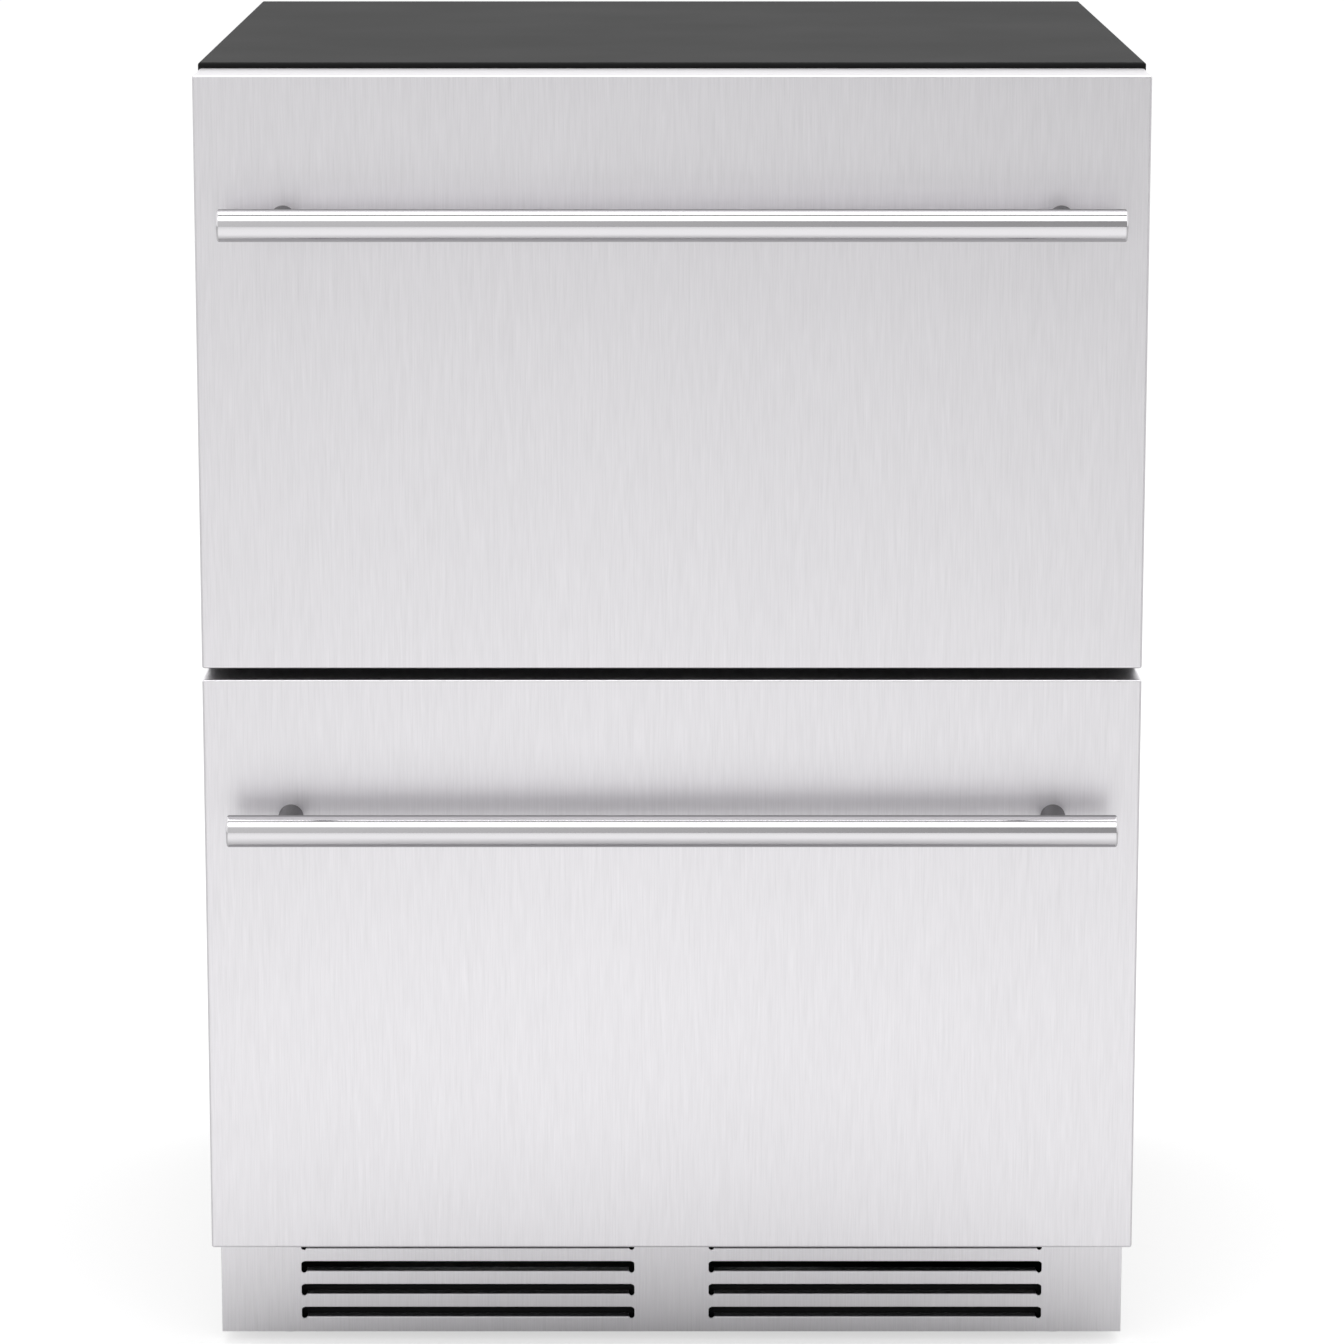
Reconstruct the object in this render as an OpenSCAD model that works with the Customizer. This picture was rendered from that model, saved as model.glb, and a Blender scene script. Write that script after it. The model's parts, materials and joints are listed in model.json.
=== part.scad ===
// Undercounter refrigerator with two drawers, as an assembly of its separate pieces.
// +X is to the right as seen by someone who stands in front of it, -Y is the front and +Z is up.
// The origin is on the floor, under the centre of the whole object.

/* [Cabinet] */
// Width over the side panels
body_w = 606; // [580:1:630]
// Height from the floor to the top, with the legs wound in
body_h = 864; // [850:1:890]
// Depth from the front sealing face to the rear sheets
body_d = 546; // [536:1:580]
// Thickness of the painted sheet
sheet_t = 1; // [0.8:0.1:1.4]
// Thickness of the insulated walls, from outside to inside
wall_t = 40; // [36:0.5:42]
// Thickness of the formed liner
liner_t = 2; // [1.5:0.1:3]
// Inner radius of the liner's long edges
liner_r = 12; // [6:1:16]
// Width of the front sealing flanges
flange_w = 25; // [20:0.5:30]
// Height of the skirt that is folded down round the top
skirt_h = 15; // [10:0.5:20]
// Outer radius of the folded sheet edges
fold_r = 1.5; // [1.2:0.1:2.5]
// Height of the underside of the insulation above the floor
foam_z = 100; // [98:0.5:106]
// Height of the cross-bar between the drawers
mullion_h = 49; // [44:0.5:54]
// Depth of the cross-bar between the drawers
mullion_d = 45; // [36:1:54]

/* [Machine space] */
// Depth of the machine space at the rear
machine_d = 216; // [208:1:226]
// Free height over the step in the lower compartment
shelf_room = 111.85; // [102:0.05:122]
// Height of the base pan above the floor
base_z = 20; // [18:0.5:24]
// Height of the base pan's folded edge
pan_h = 16; // [10:1:24]
// Depth of the condenser along its air path
cond_t = 40; // [30:1:46]
// Length of the condenser's tubes between the bends
cond_w = 160; // [158:1:168]
// Height of the condenser's fins
cond_h = 204; // [190:1:212]
// Radius of the condenser fan over its blades
fan_r = 70; // [60:1:72]
// Radius of the compressor's shell
comp_r = 72; // [64:1:76]
// Height of the compressor's shell
comp_h = 168; // [150:1:176]

/* [Evaporator] */
// Depth of the evaporator's cover in front of the liner's rear wall
cover_d = 46; // [44:0.5:50]
// Thickness of the evaporator's cover
cover_t = 2; // [1.5:0.1:2.5]
// Height of the evaporator's fins
evap_h = 170; // [140:1:190]
// Radius of the evaporator fan over its blades
evap_fan_r = 48; // [40:1:52]
// Distance of the evaporator fan's grille from the side of the cover
evap_fan_side = 60; // [30:1:80]

/* [Control and lights] */
// Width of the control panel
panel_w = 192; // [150:1:260]
// Depth of the control panel
panel_d = 44; // [36:1:60]
// Height by which the control panel hangs down
panel_h = 11; // [8:0.5:13]
// Length of the light strips
light_l = 300; // [200:1:400]
// Width of the light strips
light_w = 16; // [10:1:20]
// Height of the light strips
light_h = 5; // [4:0.5:7]

/* [Drawer fronts] */
// Distance of the fronts' side edges inside the sides of the cabinet
front_inset = 1; // [0:0.5:13]
// Thickness of the drawer fronts
front_t = 52; // [46:1:58]
// Height of the lower front's bottom edge above the floor
front_z = 92.2; // [88:0.1:96]
// Height by which the cabinet stands above the upper front
front_reveal = 3.5; // [2:0.1:6]
// Gap between the two fronts
front_gap = 7.3; // [5:0.1:9]
// Space between a closed front and the cabinet, which the gasket fills
seal_gap = 3.5; // [3:0.1:5]
// Thickness of the stainless sheet
skin_t = 1; // [0.8:0.1:1.4]
// Width of the gasket
gasket_w = 14; // [12:0.5:16]
// Distance of the gasket from the side edges of the front
gasket_side = 14; // [10:0.5:16]
// Distance of the gasket from the edge of the front that faces the other drawer
gasket_mid = 4; // [3:0.5:6]
// Distance of the gasket from the outer horizontal edge of the front
gasket_end = 10; // [8:0.5:12]

/* [Handles] */
// Diameter of the handle bar
bar_d = 20.4; // [16:0.1:24]
// Distance of the bar's ends from the side edges of the front
bar_inset = 18; // [14:1:32]
// Distance of the bar's axis from the face of the front
bar_reach = 42; // [34:0.5:56]
// Distance of the bar's axis below the top edge of the front
bar_drop = 90; // [80:0.5:100]
// Diameter of the handle posts
post_d = 16; // [12:0.1:16]
// Distance of the posts' axes from the ends of the bar
post_inset = 38; // [12:1:50]
// Radius of the bar's rounded end edges
bar_end_r = 1.5; // [0.5:0.1:3]

/* [Bins] */
// Free height between the lower bin's rim and the cross-bar
bin_head = 19.85; // [16:0.05:50]
// Wall thickness of the bins
bin_t = 2.5; // [2:0.1:3]
// Outer radius of the bins' upright corners
bin_r = 14; // [8:1:20]
// Outer radius of the bins' bottom edges
bin_floor_r = 9; // [6:0.5:14]
// Height of the bins' rim
rim_h = 4; // [3:0.5:6]
// Distance of the bins from the liner's floor and step
bin_gap = 12; // [9:0.5:14]
// Distance from the rear of the bins to the rear end of the slides
bin_rear_gap = 30; // [20:1:40]
// Distance of the slides' centre line below the rim
rail_drop = 32; // [30:0.5:40]
// Thickness of the steel of the drawer frames
frame_t = 2; // [1.5:0.1:2.5]
// Height of the drawer frames' side plates
frame_h = 54; // [48:1:60]

/* [Slides] */
// Distance from the rear end of the slides to the evaporator's cover
rail_rear = 5; // [4:0.5:35]
// Height of the slides
rail_h = 45.5; // [42:0.5:48]
// Thickness of a slide, from the liner to the drawer frame
rail_w = 12.7; // [12.5:0.1:14]
// Thickness of the slides' steel
rail_t = 1.2; // [1:0.1:1.4]
// Diameter of the balls that the slides run on
ball_d = 3; // [2.6:0.1:3.4]
// Distance of the slides behind the front sealing face
rail_set = 5; // [4:1:6]

/* [Toe kick] */
// Distance of the toe kick behind the front sealing face
kick_set = 25; // [18:1:34]
// Height of the toe kick's bottom edge above the floor
kick_z = 7.7; // [5:0.1:12]
// Thickness of the toe kick
kick_t = 1; // [0.8:0.1:1.4]
// Distance of the louvres from the sides of the cabinet
louvre_side = 53.8; // [42:0.1:100]
// Height of a louvre's opening
louvre_h = 6.6; // [5:0.1:8]
// Distance from one row of louvres to the next
louvre_pitch = 16.04; // [12:0.01:17]
// Height of the lowest louvre's sill above the floor
louvre_z = 18.4; // [14:0.1:20]
// Number of rows of louvres
louvre_rows = 5; // [3:1:5]
// Distance between the two groups of louvres
louvre_gap = 50; // [30:1:80]
// Depth of the tab that is bent in at each louvre
tab_d = 6.6; // [4:0.1:8]
// Width of the relief cut at each end of a tab
relief_w = 3.7; // [3:0.1:5]
// Distance by which a relief cut reaches below the sill
relief_drop = 1.5; // [0.5:0.1:3]

/* [Legs] */
// Diameter of the levelling feet
foot_d = 38; // [30:1:44]
// Thickness of the levelling feet
foot_h = 7; // [5:0.5:8]
// Diameter of the legs' threaded stems
stem_d = 10; // [8:0.5:12]
// Length of a leg from the floor to the top of its stem
leg_h = 78; // [72:1:90]
// Distance of the legs from the sides of the cabinet
leg_side = 44; // [40:1:60]
// Distance of the front legs behind the toe kick
leg_front = 40; // [36:1:60]
// Distance of the rear legs before the rear sheets
leg_rear = 40; // [36:1:50]

/* [Clearances] */
// Radial clearance of a shaft or thread in its hole
run_fit = 0.05; // [0.03:0.01:0.08]
// Clearance between slide members, and of the gasket from the cabinet
slide_fit = 0.3; // [0.25:0.05:0.4]
// Clearance round loose-fitting pieces
loose_fit = 0.8; // [0.6:0.1:1]

/* [Hidden] */
$fn = 48;

// Overshoot of a cutting shape past the surface that it cuts
cut = 1;

// Small hardware
screw_head_h = 1.6;
screw_head_r = 4;
screw_r = 2;
bolt_r = 2.5;
bolt_head_r = 4.5;
bolt_head_h = 4;

// Depths, from the handles at the front to the screw heads at the rear
total_d = bar_d / 2 + bar_reach + front_t + seal_gap + body_d + screw_head_h;
face_y = -total_d / 2 + bar_d / 2 + bar_reach;
front_back_y = face_y + front_t;
cab_y = front_back_y + seal_gap;
back_y = cab_y + body_d;
rear_y = back_y - wall_t;
step_y = back_y - machine_d - wall_t;
machine_y = back_y - machine_d;
kick_y = cab_y + kick_set;
cover_y = rear_y - cover_d;

// Heights
skirt_z = body_h - skirt_h;
ceiling_z = body_h - wall_t;
floor_z = foam_z + wall_t;
pan_z = base_z + sheet_t;
front_h = (body_h - front_reveal - front_z - front_gap) / 2;
upper_front_z = front_z + front_h + front_gap;
mid_z = upper_front_z - front_gap / 2;
shelf_z = mid_z - mullion_h / 2 - shelf_room;
machine_z = shelf_z - wall_t;

// Half widths
half_w = body_w / 2;
front_w = body_w - 2 * front_inset;
side_in_x = half_w - sheet_t;
flange_x = half_w - flange_w;
in_x = half_w - wall_t;

// Drawers
upper_bin_z = mid_z + mullion_h / 2 + bin_gap;
lower_bin_z = floor_z + bin_gap;
bin_h = mid_z - mullion_h / 2 - bin_head - lower_bin_z;
rail_y = cab_y + rail_set;
rail_end_y = cover_y - rail_rear;
bin_y = front_back_y + frame_t + loose_fit;
bin_end_y = rail_end_y - bin_rear_gap;
frame_x = in_x - rail_w;
bin_x = frame_x - frame_t - loose_fit;

// Toe kick
louvre_l = (body_w - louvre_gap) / 2 - louvre_side;
kick_top_z = foam_z - sheet_t;
kick_return = kick_t + tab_d + 1.5;
bend_r = kick_t;
rail_return = 20;

// Base pan and legs
pan_y = kick_y + kick_t + tab_d + 2;
pan_end_y = back_y - 2 * sheet_t;
clip_t = 0.8;
apron_z = kick_z + kick_t + clip_t + 0.5;
nut_r = stem_d / 2 + 5;
nut_h = 14;
leg_x = half_w - leg_side;
front_leg_y = kick_y + leg_front;
rear_leg_y = back_y - leg_rear;

// Screws of the rear sheets
rear_screw_x = half_w - flange_w / 2;
cover_screws = [for (i = [0:2]) base_z + 20 + i * (machine_z - base_z - 40) / 2];
panel_screws = [for (i = [0:3]) machine_z + 20 + i * (skirt_z - machine_z - 40) / 3];
rear_screw_heights = concat(cover_screws, panel_screws);

// Slide members: half heights, and the middle member's distance from the liner
outer_h = rail_h / 2;
mid_h = outer_h - rail_t - ball_d - slide_fit;
inner_h = mid_h - rail_t - ball_d - slide_fit;
mid_u = rail_t + slide_fit;
lip_h = 1.6;

// Screws and gasket groove of the drawer fronts
bar_l = front_w - 2 * bar_inset;
post_x = bar_l / 2 - post_inset;
tab_w = 22;
tab_screw_rise = 17;
tab_screw_l = 14;
post_thread = 12;
groove_w = 8;
groove_d = 6;

// Machine space
machine_mid_y = machine_y + machine_d / 2;
comp_y = machine_mid_y;
comp_flange_r = comp_r + 5;
comp_foot_x = comp_r - 14;
comp_foot_y = comp_r + 6;
comp_corner = 14;
comp_x = leg_x - nut_r - comp_foot_x - comp_corner - 4;
comp_plate_t = 3;
grommet_h = 10;
grommet_r = 11;
comp_plate_z = pan_z + grommet_h;
comp_z = comp_plate_z + comp_plate_t;
comp_seam_z = comp_z + comp_h * 0.52;
tray_z = comp_z + comp_h;
tray_x = 62;
tray_y = 60;
tray_h = 26;
tray_t = 2;

// Condenser, shroud, fan and motor in a row beside the compressor
fan_t = 20;
fan_hub_r = 20;
fan_set = 5;
motor_r = 24;
motor_l = 34;
motor_gap = 12;
shaft_r = 2.5;
shroud_t = 1.5;
shroud_ring_r = fan_r + 5;
shroud_ring_d = 34;
shroud_arm_t = 3;
shroud_arm_w = 10;
motor_set = 4;
motor_x = comp_x - comp_flange_r - motor_gap - motor_l;
shroud_x = motor_x - shroud_ring_d + motor_set;
fan_x = shroud_x + fan_set;
cond_x = shroud_x - cond_t / 2;
cond_y = machine_mid_y - cond_w / 2;
cond_z = pan_z + 20;
cond_rows = 8;
cond_pitch = cond_h / cond_rows;
cond_fins = 27;
cond_tube_r = 4;
fan_y = machine_mid_y;
fan_z = cond_z + cond_h / 2;

// Refrigerant tubes
tube_r = 3;
pipe_bend = 7;
pipe_gap = 20;
riser_x = [cond_x - 6 * pipe_gap, cond_x - 5 * pipe_gap];
riser_y = back_y - 2 * pipe_gap;
riser_l = 12;
stub_x = 20;
stub_y = comp_y + comp_r + 14;
stub_z = comp_seam_z + pipe_gap;
pipe_y = stub_y + 9;
drier_x = cond_x - 3 * pipe_gap;
drier_z = pan_z + 70;
drier_l = 90;
drier_r = 9;
drier_neck = 8;

// Control box on the front wall of the machine space
ctrl_w = 116;
ctrl_d = 40;
ctrl_h = 120;
ctrl_side = 30;
ctrl_drop = 30;
ctrl_ear = 12;

// Drain of the evaporator's melt water, and the inlet of the power cord
drain_x = comp_x;
drain_r = 7;
drain_t = 1.5;
drain_y = rear_y - 2 * drain_r;
gland_x = -half_w + 70;
gland_z = pan_z + 50;
gland_r = 9;
gland_bore_r = 4.2;

// Evaporator space
evap_z = upper_bin_z + 24;
evap_tube_r = 4;
cover_z = upper_bin_z - 6;
cover_top_z = ceiling_z - liner_r;
cover_x = in_x - 5;
evap_fan_x = cover_x - evap_fan_side - evap_fan_r;
evap_fan_z = evap_z + evap_h / 2;
evap_rows = 4;
evap_pitch = evap_h / evap_rows;
evap_x0 = -cover_x + cover_t + evap_pitch / 2 + evap_tube_r + 6;
evap_x1 = evap_fan_x - evap_fan_r - 20;
evap_fan_t = 14;
evap_fan_gap = 3;
evap_hub_r = 15;
evap_shaft_l = 12;
evap_fan_y = cover_y + cover_t + 4;
evap_motor_gap = 3;
evap_motor_y = evap_fan_y + evap_fan_t + evap_motor_gap;
evap_motor_r = 17;

// ---------------------------------------------------------------- shapes

module block(low, high) {
    translate(low) cube(high - low);
}

// Extrudes an outline drawn in Y and Z along X
module along_x(x0, x1) {
    translate([x0, 0, 0]) rotate([90, 0, 90]) linear_extrude(x1 - x0) children();
}

// Extrudes an outline drawn in X and Z along Y
module along_y(y0, y1) {
    translate([0, y1, 0]) rotate([90, 0, 0]) linear_extrude(y1 - y0) children();
}

module both_sides() {
    children();
    mirror([1, 0, 0]) children();
}

// Rectangle from one corner to the other with rounded corners
module round_rect(low, high, r) {
    size = high - low;
    translate(low) {
        translate([r, 0]) square([size.x - 2 * r, size.y]);
        translate([0, r]) square([size.x, size.y - 2 * r]);
        for (x = [r, size.x - r], y = [r, size.y - r])
            translate([x, y]) circle(r);
    }
}

// Rectangle whose two corners on the low side of the second axis are rounded
module round_low(low, high, r) {
    size = high - low;
    translate(low) {
        translate([r, 0]) square([size.x - 2 * r, size.y]);
        translate([0, r]) square([size.x, size.y - r]);
        for (x = [r, size.x - r])
            translate([x, r]) circle(r);
    }
}

// Slot with round ends, centred, along the first axis
module slot(length, width) {
    square([length - width, width], center = true);
    for (s = [-1, 1])
        translate([s * (length - width) / 2, 0]) circle(width / 2);
}

// Box whose front edges are rounded folds
module folded_box(w, y0, y1, z0, z1, r) {
    intersection() {
        translate([0, 0, z0]) linear_extrude(z1 - z0) round_low([-w / 2, y0], [w / 2, y1], r);
        along_x(-w / 2, w / 2) mirror([1, -1]) round_low([z0, y0], [z1, y1], r);
    }
}

// Box with rounded upright corners and rounded bottom edges
module tub(x, y0, y1, z0, z1, r, floor_r) {
    intersection() {
        translate([0, 0, z0]) linear_extrude(z1 - z0) round_rect([-x, y0], [x, y1], r);
        along_y(y0, y1) round_low([-x, z0], [x, z1], floor_r);
        along_x(-x, x) round_low([y0, z0], [y1, z1], floor_r);
    }
}

// Round rod or hole from one point along an axis
module rod_x(p, l, r) {
    translate(p) rotate([0, 90, 0]) cylinder(h = l, r = r);
}

module rod_y(p, l, r) {
    translate(p) rotate([-90, 0, 0]) cylinder(h = l, r = r);
}

// Bent tube through a list of corner points
module tube_run(points, r, bend) {
    last = len(points) - 1;
    function way(i) = (points[i + 1] - points[i]) / norm(points[i + 1] - points[i]);
    function turn(i) = acos(min(1, max(-1, way(i - 1) * way(i))));
    function trim(i) = i == 0 || i == last ? 0 : bend * tan(turn(i) / 2);
    for (i = [0:last - 1]) {
        d = way(i);
        start = points[i] + d * trim(i);
        translate(start)
            rotate([0, acos(d.z), atan2(d.y, d.x)])
                cylinder(h = norm(points[i + 1] - points[i]) - trim(i) - trim(i + 1), r = r);
    }
    for (i = [1:last - 1]) {
        u = way(i - 1);
        v = way(i);
        out = -(v - (u * v) * u) / norm(v - (u * v) * u);
        up = cross(out, u);
        c = points[i] - u * trim(i) - out * bend;
        multmatrix([
            [out.x, u.x, up.x, c.x],
            [out.y, u.y, up.y, c.y],
            [out.z, u.z, up.z, c.z],
            [0, 0, 0, 1]
        ]) rotate_extrude(angle = turn(i)) translate([bend, 0]) circle(r);
    }
}

// ---------------------------------------------------------------- cabinet

module top_panel() {
    low_z = body_h - sheet_t - flange_w;
    color([0.11, 0.11, 0.115]) difference() {
        intersection() {
            along_y(cab_y, back_y) mirror([0, 1]) round_low([-half_w, -body_h], [half_w, -low_z], fold_r);
            along_x(-half_w, half_w) mirror([0, 1])
                round_low([cab_y, -body_h], [back_y + fold_r, -low_z], fold_r);
        }
        block([-side_in_x, cab_y + sheet_t, low_z - cut], [side_in_x, back_y - sheet_t, body_h - sheet_t]);
        block([-half_w - cut, cab_y + sheet_t, low_z - cut], [half_w + cut, back_y + cut, skirt_z]);
        both_sides() block([flange_x, cab_y - cut, low_z - cut], [half_w + cut, back_y, skirt_z]);
    }
}

// Right-hand side panel: one sheet folded into a front flange and a rear flange, with a tongue in the skirt
module side_panel() {
    color([0.1, 0.1, 0.105]) {
        difference() {
            translate([0, 0, base_z]) linear_extrude(skirt_z - base_z) difference() {
                intersection() {
                    round_low([-half_w, cab_y], [half_w, back_y - sheet_t], fold_r);
                    translate([flange_x, cab_y]) square([flange_w, body_d]);
                }
                translate([flange_x - cut, cab_y + sheet_t])
                    square([side_in_x - flange_x + cut, body_d - 3 * sheet_t]);
            }
            block([0, cab_y - cut, 0], [half_w + cut, kick_y + kick_t, foam_z]);
            for (z = rear_screw_heights)
                rod_y([rear_screw_x, back_y - 3 * sheet_t, z], 3 * sheet_t, screw_r + run_fit);
        }
        block([side_in_x - sheet_t, cab_y + 2 * sheet_t, skirt_z - 8],
              [side_in_x, back_y - 2 * sheet_t, body_h - 2 * sheet_t]);
    }
}

module left_side_panel() {
    mirror([1, 0, 0]) side_panel();
}

module right_side_panel() {
    side_panel();
}

module back_panel() {
    rib_h = (skirt_z - machine_z) * 0.7;
    color([0.3, 0.31, 0.32]) difference() {
        block([-half_w, back_y - sheet_t, machine_z + 0.5], [half_w, back_y, skirt_z]);
        both_sides() for (z = panel_screws)
            rod_y([rear_screw_x, back_y - 2 * sheet_t, z], 3 * sheet_t, screw_r + run_fit);
        // Pressed stiffening grooves
        for (x = [-2:2])
            along_y(back_y - sheet_t * 0.4, back_y + cut)
                translate([x * half_w * 0.34, (machine_z + skirt_z) / 2]) rotate(90) slot(rib_h, 10);
    }
}

module machine_cover() {
    rows = 11;
    row_pitch = 19;
    vent_l = half_w * 0.62;
    vent_z = machine_z - 30;
    color([0.3, 0.31, 0.32]) difference() {
        block([-half_w, back_y - sheet_t, base_z], [half_w, back_y, machine_z]);
        both_sides() for (z = cover_screws)
            rod_y([rear_screw_x, back_y - 2 * sheet_t, z], 3 * sheet_t, screw_r + run_fit);
        for (s = [-1, 1], i = [0:rows - 1])
            if (s > 0 || vent_z - i * row_pitch > gland_z + 3 * gland_r)
                along_y(back_y - 2 * sheet_t, back_y + cut)
                    translate([s * half_w * 0.42, vent_z - i * row_pitch]) slot(vent_l, 7);
        rod_y([gland_x, back_y - 2 * sheet_t, gland_z], 3 * sheet_t, gland_r + run_fit);
    }
}

module rear_screws() {
    color([0.55, 0.55, 0.56]) both_sides() for (z = rear_screw_heights)
        translate([rear_screw_x, back_y, z]) rotate([-90, 0, 0]) difference() {
            union() {
                cylinder(h = screw_head_h, r = screw_head_r);
                translate([0, 0, -2 * sheet_t]) cylinder(h = 2 * sheet_t, r = screw_r);
            }
            for (a = [0, 90]) rotate(a)
                translate([-screw_head_r / 2, -0.5, screw_head_h / 2]) cube([screw_head_r, 1, screw_head_h]);
        }
}

module base_pan() {
    color([0.1, 0.1, 0.105]) difference() {
        union() {
            // Apron that closes the view under the pan through the lowest louvres
            block([-side_in_x, pan_y, apron_z], [side_in_x, pan_y + sheet_t, pan_z]);
            difference() {
                block([-side_in_x, pan_y, base_z], [side_in_x, pan_end_y, pan_z + pan_h]);
                block([-side_in_x + sheet_t, pan_y + sheet_t, pan_z],
                      [side_in_x - sheet_t, pan_end_y - sheet_t, pan_z + pan_h + cut]);
            }
            for (x = [-leg_x, leg_x], y = [front_leg_y, rear_leg_y])
                translate([x, y, pan_z]) cylinder(h = nut_h, r = nut_r);
        }
        for (x = [-leg_x, leg_x], y = [front_leg_y, rear_leg_y])
            translate([x, y, base_z - cut]) cylinder(h = nut_h + sheet_t + 2 * cut, r = stem_d / 2 + run_fit);
    }
}

// Sheet that lines the underside of the insulation and the machine space
module step_plate() {
    color([0.5, 0.51, 0.52]) difference() {
        along_x(-side_in_x, side_in_x) polygon([
            [cab_y + sheet_t, foam_z - sheet_t],
            [machine_y + sheet_t, foam_z - sheet_t],
            [machine_y + sheet_t, machine_z - sheet_t],
            [pan_end_y, machine_z - sheet_t],
            [pan_end_y, machine_z],
            [machine_y, machine_z],
            [machine_y, foam_z],
            [cab_y + sheet_t, foam_z]
        ]);
        translate([drain_x, drain_y, machine_z - 2 * sheet_t])
            cylinder(h = 3 * sheet_t, r = drain_r + run_fit);
        for (x = riser_x)
            translate([x, riser_y, machine_z - 2 * sheet_t]) cylinder(h = 3 * sheet_t, r = tube_r + run_fit);
    }
}

// Outline of the cabinet's inside, in Y and Z, grown by a wall
module inside_outline(grow) {
    polygon([
        [cab_y - cut, floor_z - grow],
        [step_y + grow, floor_z - grow],
        [step_y + grow, shelf_z - grow],
        [rear_y + grow, shelf_z - grow],
        [rear_y + grow, ceiling_z + grow],
        [cab_y - cut, ceiling_z + grow]
    ]);
}

// The cabinet's inside, with rounded long edges
module inside_space(grow) {
    x = in_x + grow;
    intersection() {
        along_x(-x, x) inside_outline(grow);
        along_y(cab_y - cut, rear_y + grow + cut)
            round_rect([-x, floor_z - grow], [x, ceiling_z + grow], liner_r + grow);
    }
}

module liner_body() {
    intersection() {
        inside_space(liner_t);
        block([-half_w, cab_y, foam_z], [half_w, back_y, body_h]);
    }
    block([-flange_x, cab_y, foam_z + flange_w], [flange_x, cab_y + liner_t, body_h - sheet_t - flange_w]);
}

module cabinet_liner() {
    color([0.23, 0.235, 0.245]) difference() {
        liner_body();
        inside_space(0);
        translate([drain_x, drain_y, machine_z]) cylinder(h = wall_t + cut, r = drain_r + run_fit);
    }
}

module foam_insulation() {
    color([0.93, 0.87, 0.66]) difference() {
        along_x(-side_in_x, side_in_x) polygon([
            [cab_y + sheet_t, foam_z],
            [machine_y, foam_z],
            [machine_y, machine_z],
            [back_y - sheet_t, machine_z],
            [back_y - sheet_t, body_h - sheet_t],
            [cab_y + sheet_t, body_h - sheet_t]
        ]);
        liner_body();
        both_sides() {
            block([flange_x - cut, back_y - 2 * sheet_t, foam_z], [half_w, back_y, skirt_z]);
            block([side_in_x - sheet_t, cab_y, skirt_z - 8], [half_w, back_y, body_h]);
        }
        block([-flange_x, cab_y, foam_z], [flange_x, cab_y + rail_return, foam_z + sheet_t]);
        translate([drain_x, drain_y, machine_z - cut]) cylinder(h = wall_t, r = drain_r + run_fit);
        for (x = riser_x)
            translate([x, riser_y, machine_z - cut]) cylinder(h = riser_l + cut, r = tube_r + run_fit);
    }
}

module mullion() {
    h = mullion_h / 2;
    nose = mullion_d * 0.55;
    color([0.2, 0.205, 0.215]) along_x(-in_x, in_x) translate([cab_y, mid_z]) polygon([
        [0, -h],
        [nose, -h],
        [mullion_d, -h * 0.6],
        [mullion_d, h * 0.6],
        [nose, h],
        [0, h]
    ]);
}

module bottom_rail() {
    color([0.1, 0.1, 0.105]) {
        block([-flange_x, cab_y, foam_z], [flange_x, cab_y + sheet_t, foam_z + flange_w]);
        block([-flange_x, cab_y + sheet_t, foam_z], [flange_x, cab_y + rail_return, foam_z + sheet_t]);
    }
}

// ---------------------------------------------------------------- toe kick

// One louvre's opening, with its two relief cuts
module louvre_opening() {
    relief_h = louvre_h + relief_drop - 0.3;
    relief_x = (louvre_l - relief_w) / 2;
    translate([-relief_x, 0]) square([2 * relief_x, louvre_h]);
    for (x = [-relief_x, relief_x])
        translate([x, relief_h / 2 - relief_drop]) rotate(90) slot(relief_h, relief_w);
}

// Places a copy at the sill of every louvre
module at_louvres() {
    for (s = [-1, 1], i = [0:louvre_rows - 1])
        translate([s * (louvre_gap + louvre_l) / 2, 0, louvre_z + i * louvre_pitch]) children();
}

module toe_kick_grille() {
    tab_l = louvre_l - 2 * relief_w;
    return_y = kick_y + kick_return;
    color([0.76, 0.76, 0.77]) {
        difference() {
            union() {
                translate([0, 0, kick_z]) linear_extrude(kick_top_z - kick_z)
                    round_low([-half_w, kick_y], [half_w, kick_y + kick_t], kick_t / 2);
                both_sides()
                    block([side_in_x - kick_t, kick_y + kick_t, kick_z], [side_in_x, return_y, kick_top_z]);
                block([-side_in_x, kick_y + kick_t, kick_z], [side_in_x, return_y, kick_z + kick_t]);
            }
            at_louvres() {
                along_y(kick_y - cut, kick_y + 2 * kick_t) louvre_opening();
                // Outer radius of the fold at the sill
                along_x(-tab_l / 2, tab_l / 2) translate([kick_y, -bend_r]) difference() {
                    translate([-cut, 0]) square([bend_r + cut, bend_r + cut]);
                    translate([bend_r, 0]) circle(bend_r);
                }
            }
        }
        // Tabs that are bent in behind the sills
        at_louvres()
            block([-tab_l / 2, kick_y + kick_t, -kick_t], [tab_l / 2, kick_y + kick_t + tab_d, 0]);
    }
}

// Spring clips between the toe kick's lower return and the base pan's front edge
module toe_kick_clips() {
    clip_w = 18;
    clip_h = 6;
    clip_z = kick_z + kick_t;
    clip_y = kick_y + kick_t + 0.5;
    clip_l = pan_y + 2 * clip_h - clip_y;
    clip_x = half_w - louvre_side;
    color([0.62, 0.62, 0.63]) both_sides()
        along_x(clip_x - clip_w / 2, clip_x + clip_w / 2) translate([clip_y, clip_z]) {
            square([clip_l, clip_t]);
            translate([clip_l - clip_t, 0]) square([clip_t, base_z - clip_z]);
            square([clip_t, clip_h]);
        }
}

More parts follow.
